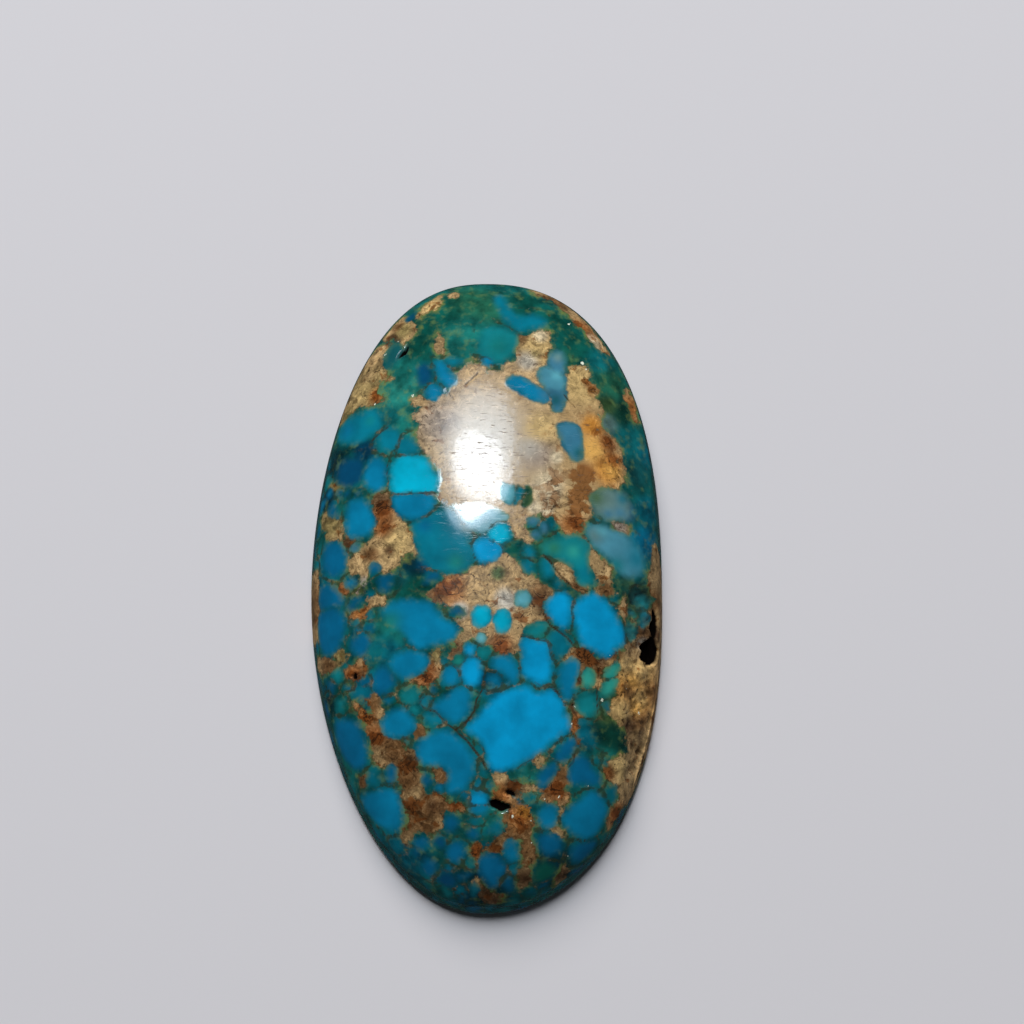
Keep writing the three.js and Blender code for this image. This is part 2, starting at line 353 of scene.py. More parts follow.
    ("deep", [(-12.4, -0.3), (-11.3, -0.2), (-10.4, -1.3), (-10.4, -2.0), (-11.3, -1.9), (-12.4, -2.0)]),
    ("blue", [(-6.9, -6.2), (-6.2, -5.6), (-5.4, -5.4), (-4.6, -5.6), (-4.2, -6.1), (-4.4, -6.8),
        (-5.0, -7.1), (-5.8, -7.5), (-6.4, -7.2), (-6.8, -6.8)]),
    ("deep", [(-8.1, -7.0), (-7.6, -6.5), (-7.0, -6.6), (-6.7, -7.2), (-6.6, -7.9), (-7.0, -8.3),
        (-7.6, -8.4), (-8.0, -7.9)]),
    ("lagoon", [(-11.2, -6.8), (-10.8, -6.4), (-10.4, -6.8), (-10.6, -7.3), (-11.0, -7.3)]),
    ("sky", [(-1.8, -6.9), (-1.5, -6.2), (-1.0, -5.95), (-0.5, -6.3), (-0.4, -7.1), (-0.7, -7.9),
        (-1.3, -8.0), (-1.7, -7.5)]),
    ("blue", [(-3.2, -7.2), (-2.9, -6.7), (-2.2, -6.6), (-1.9, -7.2), (-2.1, -7.8), (-2.7, -8.0),
        (-3.1, -7.7)]),
    ("blue", [(0.4, -6.4), (0.6, -5.95), (1.2, -5.9), (1.9, -6.1), (2.3, -6.7), (2.3, -7.3), (2.1, -7.8),
        (1.6, -7.6), (1.0, -7.1), (0.6, -6.9)]),
    ("sky", [(2.3, -4.9), (2.9, -4.6), (3.8, -4.9), (4.3, -4.9), (4.6, -5.7), (4.7, -6.6), (4.5, -7.4),
        (3.9, -7.8), (3.3, -7.6), (2.7, -7.2), (2.6, -6.4), (2.6, -5.6)]),
    ("teal", [(4.3, -4.3), (5.0, -4.0), (5.6, -4.5), (6.0, -5.1), (5.5, -5.8), (4.9, -5.9), (4.6, -5.1)]),
    ("lagoon", [(2.7, -4.2), (3.3, -3.6), (4.0, -3.4), (4.3, -3.9), (3.9, -4.5), (3.2, -4.5)]),
    ("sky", [(4.2, -2.4), (4.5, -1.8), (5.1, -1.2), (5.7, -1.3), (6.0, -2.0), (6.0, -2.9), (5.8, -3.6),
        (5.3, -3.8), (4.7, -3.3)]),
    ("sky", [(6.2, -2.6), (6.4, -1.9), (7.0, -1.5), (7.6, -1.2), (8.2, -1.5), (8.8, -1.9), (9.1, -2.6),
        (9.6, -3.4), (10.0, -4.0), (9.9, -4.6), (9.3, -5.0), (8.9, -5.6), (8.4, -5.7), (7.9, -5.4),
        (7.4, -5.1), (6.8, -4.9), (6.5, -4.2), (6.3, -3.4)]),
    ("lagoon", [(9.9, -3.9), (10.1, -3.2), (10.8, -3.3), (10.9, -3.9), (10.4, -4.4)]),
    ("blue", [(5.3, -6.6), (5.7, -6.0), (6.3, -5.95), (6.7, -6.4), (6.6, -7.1), (6.3, -7.6), (6.3, -8.2),
        (6.1, -8.9), (5.6, -8.9), (5.3, -8.2), (5.1, -7.4)]),
    ("mint", [(6.8, -7.1), (7.2, -6.7), (7.7, -6.9), (7.8, -7.5), (7.4, -7.9), (6.9, -7.8)]),
    ("mint", [(8.5, -6.9), (8.9, -6.3), (9.5, -6.1), (9.5, -6.6), (9.1, -7.1), (8.6, -7.3)]),
    ("mint", [(8.3, -7.9), (8.5, -7.4), (9.0, -7.2), (9.4, -7.4), (9.2, -7.9), (8.8, -8.5), (8.3, -8.5)]),
    ("lagoon", [(6.5, -8.8), (6.9, -8.5), (7.6, -8.4), (7.9, -9.0), (7.9, -9.6), (7.3, -10.0), (6.7, -9.9),
        (6.4, -9.5)]),
    ("lagoon", [(-6.1, -8.6), (-5.7, -8.1), (-5.1, -8.1), (-4.7, -8.6), (-5.0, -9.2), (-5.7, -9.3)]),
    ("teal", [(-4.7, -8.9), (-4.4, -8.6), (-4.0, -8.8), (-4.1, -9.4), (-4.5, -9.4)]),
    ("lagoon", [(-5.5, -9.6), (-5.1, -9.3), (-4.7, -9.6), (-5.0, -10.0)]),
    ("teal", [(-4.5, -10.1), (-4.0, -9.8), (-3.3, -10.1), (-3.0, -10.5), (-3.6, -10.7), (-4.2, -10.5)]),
    ("blue", [(-3.9, -9.4), (-3.4, -9.0), (-2.7, -8.8), (-2.2, -8.2), (-1.6, -8.1), (-1.15, -8.6),
        (-1.05, -9.4), (-1.3, -10.1), (-1.9, -10.5), (-2.4, -10.6), (-2.9, -10.2), (-3.4, -9.7)]),
    ("blue", [(-7.5, -10.4), (-7.1, -9.9), (-6.6, -9.75), (-6.0, -9.55), (-5.5, -9.9), (-5.1, -10.4),
        (-5.1, -11.0), (-5.6, -11.3), (-6.2, -11.6), (-6.9, -11.4), (-7.4, -11.0)]),
    ("sky", [(-1.5, -11.0), (-0.7, -10.5), (-0.2, -9.7), (0.4, -9.0), (1.2, -8.4), (2.2, -8.1), (3.1, -8.1),
        (3.4, -8.5), (4.0, -8.5), (4.7, -8.2), (5.3, -8.9), (5.6, -9.4), (5.5, -9.9), (5.9, -10.2),
        (6.0, -10.8), (5.6, -11.2), (4.9, -11.7), (4.2, -12.2), (3.5, -12.8), (2.6, -13.3), (1.7, -13.8),
        (0.9, -14.0), (0.2, -13.6), (-0.1, -12.4), (-0.7, -11.6)]),
    ("blue", [(-4.9, -11.9), (-4.2, -11.35), (-3.2, -11.1), (-2.4, -11.2), (-1.7, -12.0), (-1.0, -12.8),
        (-0.9, -13.5), (-1.05, -14.3), (-1.4, -15.0), (-1.9, -15.45), (-2.5, -15.45), (-2.9, -15.0),
        (-2.55, -14.3), (-2.75, -13.75), (-3.6, -13.45), (-4.5, -13.4), (-4.95, -12.9)]),
    ("deep", [(-11.4, -10.2), (-10.2, -9.9), (-9.4, -10.3), (-8.9, -11.1), (-8.6, -12.0), (-8.6, -12.9),
        (-8.9, -13.5), (-9.6, -13.5), (-10.5, -13.0), (-11.2, -12.0)]),
    ("deep", [(5.0, -12.6), (5.4, -12.0), (5.9, -11.6), (6.3, -11.7), (6.3, -12.3), (6.0, -12.9),
        (5.4, -13.2), (4.9, -13.1)]),
    ("deep", [(6.0, -13.6), (6.3, -12.9), (6.9, -12.7), (7.3, -13.1), (7.7, -13.8), (8.1, -14.4),
        (7.9, -14.9), (7.2, -14.8), (6.6, -14.9), (6.0, -14.8), (5.8, -14.3)]),
    ("deep", [(3.6, -14.4), (4.0, -13.8), (4.6, -13.4), (5.0, -13.4), (5.0, -13.9), (4.6, -14.5),
        (4.3, -15.0), (3.8, -15.1)]),
    ("deep", [(-7.15, -14.0), (-6.9, -13.5), (-6.5, -13.5), (-6.35, -14.0), (-6.6, -14.6), (-6.95, -14.6)]),
    ("blue", [(-9.4, -15.7), (-7.8, -15.1), (-7.0, -15.0), (-6.4, -15.3), (-6.15, -16.2), (-6.0, -17.0),
        (-6.2, -17.7), (-6.8, -17.8), (-7.6, -17.8), (-8.5, -17.3), (-9.2, -16.5)]),
    ("sky", [(-1.2, -15.8), (-0.6, -15.3), (0.0, -15.6), (0.15, -16.1), (-0.2, -16.35), (-1.15, -16.3)]),
    ("blue", [(-1.15, -16.4), (-0.2, -16.42), (0.1, -16.5), (-0.1, -16.9), (-0.6, -17.0), (-1.1, -16.85)]),
    ("blue", [(3.7, -16.9), (4.1, -16.4), (4.7, -16.3), (5.1, -16.6), (5.0, -17.3), (4.7, -17.8),
        (4.1, -17.85), (3.8, -17.5)]),
    ("blue", [(5.4, -17.2), (6.0, -16.5), (6.7, -15.9), (7.3, -15.3), (8.0, -15.4), (8.4, -15.9),
        (8.7, -16.5), (8.4, -17.4), (8.0, -18.2), (7.3, -18.5), (6.5, -18.4), (5.9, -17.9), (5.5, -17.6)]),
    ("deep", [(-3.0, -17.5), (-2.6, -17.0), (-2.0, -17.3), (-2.1, -17.9), (-2.7, -18.1)]),
    ("deep", [(-1.35, -18.2), (-0.9, -17.8), (-0.45, -18.2), (-0.8, -18.65)]),
    ("deep", [(-5.1, -18.9), (-4.6, -18.5), (-4.15, -18.9), (-4.6, -19.35)]),
    ("navy", [(-3.9, -18.8), (-3.3, -18.4), (-2.8, -18.9), (-3.2, -19.4)]),
    ("deep", [(-2.7, -19.4), (-2.2, -18.7), (-1.5, -19.1), (-1.5, -19.9), (-2.1, -20.3), (-2.6, -20.0)]),
    ("deep", [(3.6, -18.6), (4.1, -18.2), (4.8, -18.3), (5.3, -18.8), (5.3, -19.4), (4.6, -19.7),
        (3.9, -19.4)]),
    ("blue", [(1.25, -19.4), (1.5, -18.75), (2.0, -18.7), (2.25, -19.3), (2.1, -20.1), (1.6, -20.2)]),
    ("deep", [(5.9, -19.3), (6.6, -18.8), (7.4, -18.8), (8.4, -19.0), (7.9, -20.0), (7.0, -20.6),
        (6.3, -20.1)]),
    ("deep", [(-0.5, -20.3), (-0.2, -19.8), (0.5, -19.75), (1.0, -20.0), (1.4, -20.5), (1.4, -20.9),
        (0.9, -21.4), (0.6, -21.9), (0.1, -21.7), (-0.4, -21.1)]),
    ("deep", [(-4.7, -20.6), (-4.2, -19.9), (-3.6, -20.4), (-3.7, -21.2), (-4.3, -21.3)]),
    ("navy", [(-3.8, -21.6), (-3.0, -20.8), (-2.2, -21.2), (-2.2, -21.9), (-3.1, -22.2)]),
    ("pine", [(3.3, -20.9), (4.0, -20.2), (4.8, -20.4), (5.2, -21.1), (4.4, -21.7), (3.6, -21.6)]),
]

# Patches of matrix, drawn past the nodules that lie in them and past the edge of the stone
PATCHES = [
    [(-5.3, 12.3), (-4.7, 13.0), (-3.6, 13.3), (-2.4, 13.9), (-2.1, 14.8), (-1.9, 15.4), (-1.5, 16.2),
        (-1.0, 16.1), (-0.5, 15.7), (0.3, 15.3), (1.2, 15.6), (1.7, 16.1), (2.1, 16.9), (2.4, 17.6),
        (2.3, 18.3), (3.0, 18.6), (4.3, 18.9), (4.8, 18.6), (4.6, 18.1), (4.8, 17.5), (4.4, 17.1),
        (4.5, 15.8), (5.8, 15.2), (6.0, 15.5), (6.4, 16.0), (6.9, 16.2), (7.3, 15.9), (7.6, 15.2),
        (8.0, 14.5), (8.2, 13.6), (8.3, 12.6), (8.0, 12.0), (8.3, 11.0), (9.3, 10.8), (9.7, 9.5),
        (9.9, 8.2), (9.9, 7.0), (9.3, 6.7), (8.4, 6.9), (7.6, 6.2), (7.5, 5.3), (7.8, 4.5), (7.1, 4.2),
        (6.4, 3.4), (6.0, 3.0), (5.4, 3.3), (4.6, 4.2), (3.8, 4.4), (2.9, 4.4), (2.5, 3.6), (3.2, 2.8),
        (2.9, 2.2), (2.2, 2.7), (1.7, 3.4), (1.5, 4.2), (0.5, 4.9), (-1.0, 5.0), (-2.2, 5.1), (-3.0, 5.4),
        (-3.5, 6.0), (-3.4, 6.8), (-3.3, 7.6), (-3.9, 8.2), (-4.2, 8.9), (-4.9, 9.3), (-5.2, 10.0),
        (-5.3, 10.8), (-5.0, 11.6)],
    [(-4.0, 22.4), (-3.5, 22.5), (-3.6, 21.2), (-4.1, 20.5), (-4.9, 20.6), (-5.4, 20.0), (-5.4, 20.5),
        (-4.7, 21.6)],
    [(-3.0, 22.4), (-2.2, 22.4), (-2.4, 21.8), (-2.9, 22.0)],
    [(-7.2, 20.8), (-5.9, 20.2), (-5.3, 19.7), (-5.5, 18.7), (-6.1, 18.1), (-6.6, 18.3), (-7.3, 18.3),
        (-8.6, 18.9)],
    [(-8.6, 18.4), (-7.9, 17.4), (-7.8, 16.2), (-7.2, 15.6), (-6.8, 15.1), (-7.9, 15.0), (-8.05, 14.2),
        (-7.6, 13.8), (-7.7, 13.1), (-8.1, 13.4), (-9.0, 13.2), (-10.2, 12.9), (-11.6, 12.6), (-12.4, 13.2),
        (-11.2, 15.9), (-10.0, 17.6)],
    [(-8.9, 18.3), (-7.4, 18.5), (-7.2, 18.0), (-7.6, 17.0), (-7.9, 16.0), (-8.8, 16.2), (-9.8, 17.4)],
    [(10.2, 14.4), (10.6, 13.6), (10.7, 12.6), (11.7, 12.4), (11.5, 14.0), (10.9, 15.2)],
    [(-5.3, 13.4), (-4.9, 13.8), (-4.5, 13.3), (-4.5, 12.7), (-5.2, 12.8)],
    [(-3.8, 18.6), (-3.4, 18.4), (-3.5, 17.6), (-3.0, 17.0), (-2.7, 16.8), (-3.3, 16.7), (-3.8, 17.4)],
    [(3.3, 23.4), (4.4, 22.3), (5.6, 21.5), (6.4, 20.4), (7.2, 19.3), (8.2, 18.1), (8.8, 17.5), (9.6, 18.2),
        (7.6, 21.2), (4.4, 24.2)],
    [(-8.55, 6.1), (-7.05, 6.15), (-6.95, 5.15), (-6.75, 4.6), (-6.1, 4.35), (-5.9, 3.7), (-5.5, 3.35),
        (-5.15, 2.35), (-5.1, 1.55), (-5.65, 1.4), (-6.15, 1.15), (-6.55, 0.4), (-7.25, 0.2), (-7.6, 0.6),
        (-8.3, 1.0), (-8.65, 0.3), (-8.85, -0.3), (-9.2, -1.2), (-9.55, -1.2), (-9.1, -0.3), (-9.3, 0.1),
        (-10.05, 0.1), (-10.05, 1.0), (-9.7, 1.75), (-9.1, 2.3), (-8.35, 2.75), (-8.0, 3.25), (-8.15, 4.6),
        (-8.5, 5.3)],
    [(-12.2, 5.55), (-11.5, 5.2), (-10.95, 4.45), (-10.45, 4.0), (-10.5, 3.45), (-10.95, 3.1), (-11.6, 3.1),
        (-12.05, 3.6), (-12.6, 4.55)],
    [(-11.8, 7.6), (-11.2, 7.3), (-10.7, 6.9), (-10.9, 6.5), (-11.5, 6.9)],
    [(-10.5, 3.2), (-10.0, 3.05), (-9.5, 2.95), (-9.7, 2.3), (-10.0, 1.9), (-10.35, 2.4)],
    [(-10.9, -0.4), (-10.4, -0.2), (-10.1, -0.8), (-10.4, -1.3), (-11.0, -1.5)],
    [(-13.2, 1.0), (-12.6, 0.9), (-12.3, 0.2), (-12.3, -1.5), (-12.4, -3.0), (-12.6, -4.4), (-15.0, -4.4),
        (-15.0, 1.0)],
    [(4.9, 1.0), (5.5, 0.95), (6.1, 0.7), (6.25, 0.2), (6.2, -0.3), (6.7, -0.7), (7.3, -0.9), (6.6, -1.0),
        (5.9, -0.65), (5.4, -0.1), (5.0, 0.45)],
    [(7.4, 1.6), (7.9, 1.7), (8.6, 1.3), (8.9, 0.8), (9.0, 0.1), (8.6, -0.5), (8.0, -0.4), (7.9, 0.2),
        (7.5, 0.6), (7.2, 1.1)],
    [(8.0, -0.7), (8.8, -0.6), (9.2, -1.0), (8.9, -1.5), (8.3, -1.2)],
    [(9.3, -2.3), (9.9, -1.6), (10.3, -2.2), (10.2, -2.9), (9.8, -3.2)],
    [(8.9, 4.1), (9.6, 4.2), (10.1, 4.1), (10.0, 3.3), (9.6, 3.35), (9.2, 3.8)],
    [(12.3, 2.9), (13.2, 3.2), (15.0, 0.5), (15.0, -2.0), (12.6, -1.4), (12.0, -0.4), (12.1, 0.9),
        (12.2, 1.9)],
    [(-0.6, 0.6), (0.4, 0.9), (1.1, 1.5), (1.6, 1.2), (2.1, 0.9), (2.3, 0.3), (2.6, -0.3), (3.3, -0.2),
        (3.8, -0.8), (4.5, -1.0), (4.3, -1.8), (4.0, -2.6), (4.4, -3.3), (3.6, -3.4), (2.6, -3.8),
        (2.2, -4.4), (2.3, -5.0), (2.3, -5.7), (1.5, -5.8), (0.6, -5.8), (0.3, -5.0), (-0.4, -4.2),
        (-1.0, -4.6), (-1.5, -5.0), (-2.0, -5.5), (-2.6, -6.0), (-3.0, -5.9), (-2.5, -5.3), (-2.0, -4.9),
        (-1.7, -4.2), (-1.7, -3.2), (-1.9, -2.4), (-2.6, -2.3), (-3.5, -1.9), (-4.3, -1.7), (-3.7, -1.0),
        (-2.7, -0.3), (-1.6, 0.1)],
    [(-9.9, -2.5), (-9.2, -2.4), (-8.6, -2.1), (-8.4, -1.5), (-7.7, -1.4), (-7.3, -1.8), (-8.0, -2.2),
        (-8.6, -2.7), (-9.3, -3.0), (-9.8, -3.0)],
    [(-5.7, -7.7), (-5.0, -7.2), (-4.3, -6.9), (-4.0, -6.2), (-4.2, -5.7), (-3.9, -5.3), (-3.4, -5.5),
        (-3.4, -6.2), (-3.2, -6.9), (-3.5, -7.4), (-4.0, -8.3), (-4.4, -8.0), (-5.0, -7.9)],
    [(-10.4, -6.6), (-9.9, -6.2), (-9.3, -6.5), (-9.2, -7.2), (-9.7, -7.5), (-10.2, -7.2)],
    [(-9.4, -6.0), (-8.9, -5.8), (-8.6, -6.4), (-8.9, -7.1), (-9.3, -6.7)],
    [(-0.4, -22.5), (0.4, -22.3), (1.1, -22.9), (0.9, -23.8), (-0.2, -23.7)],
    [(-10.9, -5.3), (-10.2, -5.2), (-10.1, -5.9), (-10.7, -5.9)],
    [(-12.8, -5.4), (-11.2, -5.8), (-10.4, -6.1), (-11.0, -6.5), (-12.6, -6.7), (-14.0, -6.0)],
    [(-8.9, -8.6), (-8.2, -8.5), (-7.9, -8.4), (-7.6, -9.2), (-7.4, -9.8), (-8.0, -9.9), (-8.4, -9.3)],
    [(-9.4, -8.9), (-8.8, -9.2), (-8.3, -9.8), (-7.9, -10.4), (-7.6, -11.2), (-7.0, -11.7), (-6.2, -11.9),
        (-5.5, -12.3), (-5.05, -13.0), (-4.85, -13.7), (-4.6, -14.6), (-4.4, -15.6), (-3.7, -15.3),
        (-3.0, -15.85), (-2.2, -15.9), (-1.5, -16.3), (-1.6, -16.8), (-2.3, -16.7), (-3.1, -16.6),
        (-3.3, -17.3), (-3.2, -17.9), (-3.9, -18.4), (-4.6, -18.0), (-5.2, -18.3), (-5.7, -19.0),
        (-6.0, -18.4), (-5.6, -17.4), (-5.8, -16.4), (-6.0, -15.3), (-6.2, -14.4), (-6.3, -13.4),
        (-7.0, -13.2), (-7.6, -13.5), (-8.1, -13.0), (-8.3, -12.2), (-8.5, -11.3), (-9.0, -10.2)],
    [(-3.9, -13.9), (-3.4, -13.7), (-2.9, -13.8), (-2.5, -14.1), (-2.5, -14.5), (-3.0, -14.8),
        (-3.5, -14.7), (-3.9, -14.3)],
    [(-9.3, -14.6), (-8.8, -14.0), (-8.4, -14.2), (-8.6, -14.8), (-9.2, -15.0)],
    [(-5.0, -10.8), (-4.5, -10.8), (-4.7, -11.5), (-5.1, -11.6)],
    [(5.9, -9.4), (6.3, -9.2), (6.4, -9.7), (6.7, -10.2), (6.8, -10.7), (6.6, -11.4), (6.5, -12.2),
        (6.3, -12.6), (6.2, -11.4), (6.05, -10.6), (6.0, -10.0)],
    [(5.7, -5.9), (6.2, -5.1), (6.9, -5.2), (7.6, -5.5), (8.2, -5.9), (9.0, -5.8), (9.6, -5.3), (9.5, -6.0),
        (8.4, -6.5), (8.1, -7.1), (8.05, -7.9), (7.85, -7.9), (7.8, -7.0), (7.6, -6.6), (7.0, -6.7),
        (6.8, -7.6), (6.5, -7.6), (6.8, -6.3), (6.3, -5.8)],
    [(0.5, -15.9), (0.7, -15.2), (1.3, -15.0), (1.6, -15.4), (2.0, -15.9), (1.8, -16.4), (1.2, -16.2)],
    [(0.6, -14.1), (1.2, -14.5), (2.3, -14.8), (3.6, -15.0), (3.9, -15.5), (2.4, -15.5), (1.3, -15.2),
        (0.5, -14.6)],
    [(1.2, -16.7), (2.0, -16.2), (2.8, -16.1), (3.4, -16.6), (3.5, -17.6), (3.1, -18.4), (2.3, -18.5),
        (1.7, -19.0), (0.9, -19.4), (0.3, -18.8), (1.0, -18.2), (1.4, -17.6)],
    [(9.7, -15.6), (10.4, -16.2), (10.2, -17.6), (9.3, -18.6), (9.0, -17.8), (9.3, -16.6)],
    [(5.5, -20.6), (5.9, -20.8), (6.0, -22.0), (5.4, -22.6), (5.3, -21.6)],
    [(0.2, -18.8), (0.9, -18.7), (1.1, -19.3), (0.6, -19.7), (0.1, -19.4)],
    [(-1.0, -19.0), (-0.5, -18.9), (-0.4, -19.7), (-0.9, -20.1), (-1.2, -19.6)],
    [(2.5, -18.5), (3.2, -18.4), (3.5, -19.3), (3.7, -19.9), (3.2, -20.6), (2.6, -20.3), (2.5, -19.4)],
    [(2.3, -20.7), (3.0, -20.8), (3.3, -21.7), (2.8, -22.2), (2.4, -21.6)],
    [(3.6, -16.0), (4.1, -15.7), (4.5, -15.0), (4.9, -14.3), (5.2, -13.5), (5.7, -13.3), (5.7, -14.6),
        (5.5, -15.2), (5.9, -15.6), (5.7, -16.2), (5.4, -16.8), (5.1, -16.4), (4.6, -16.0), (4.0, -16.1)],
    [(3.3, -13.0), (3.7, -12.8), (4.0, -13.1), (3.6, -13.5)],
    [(4.7, -17.9), (5.2, -17.6), (5.4, -18.2), (5.0, -18.5)],
    [(0.8, -14.4), (1.4, -14.3), (1.5, -14.8), (0.9, -14.9)],
    [(-1.0, -21.3), (-0.4, -21.6), (0.0, -22.0), (-0.5, -22.3)],
    [(8.4, -13.4), (8.9, -13.0), (9.6, -13.0), (10.2, -12.4), (11.4, -11.6), (13.0, -13.0), (11.6, -16.6),
        (9.8, -16.2), (9.4, -14.9), (8.8, -14.7), (8.5, -14.2)],
    [(9.6, -5.4), (10.2, -4.6), (10.9, -3.9), (11.6, -3.2), (12.1, -2.4), (12.4, -1.0), (15.0, -1.0),
        (15.0, -9.0), (12.6, -14.0), (10.3, -12.6), (10.1, -11.6), (9.8, -10.9), (9.2, -10.3), (8.9, -9.6),
        (9.1, -9.0), (9.4, -8.2), (9.6, -7.2), (9.4, -6.4)],
]

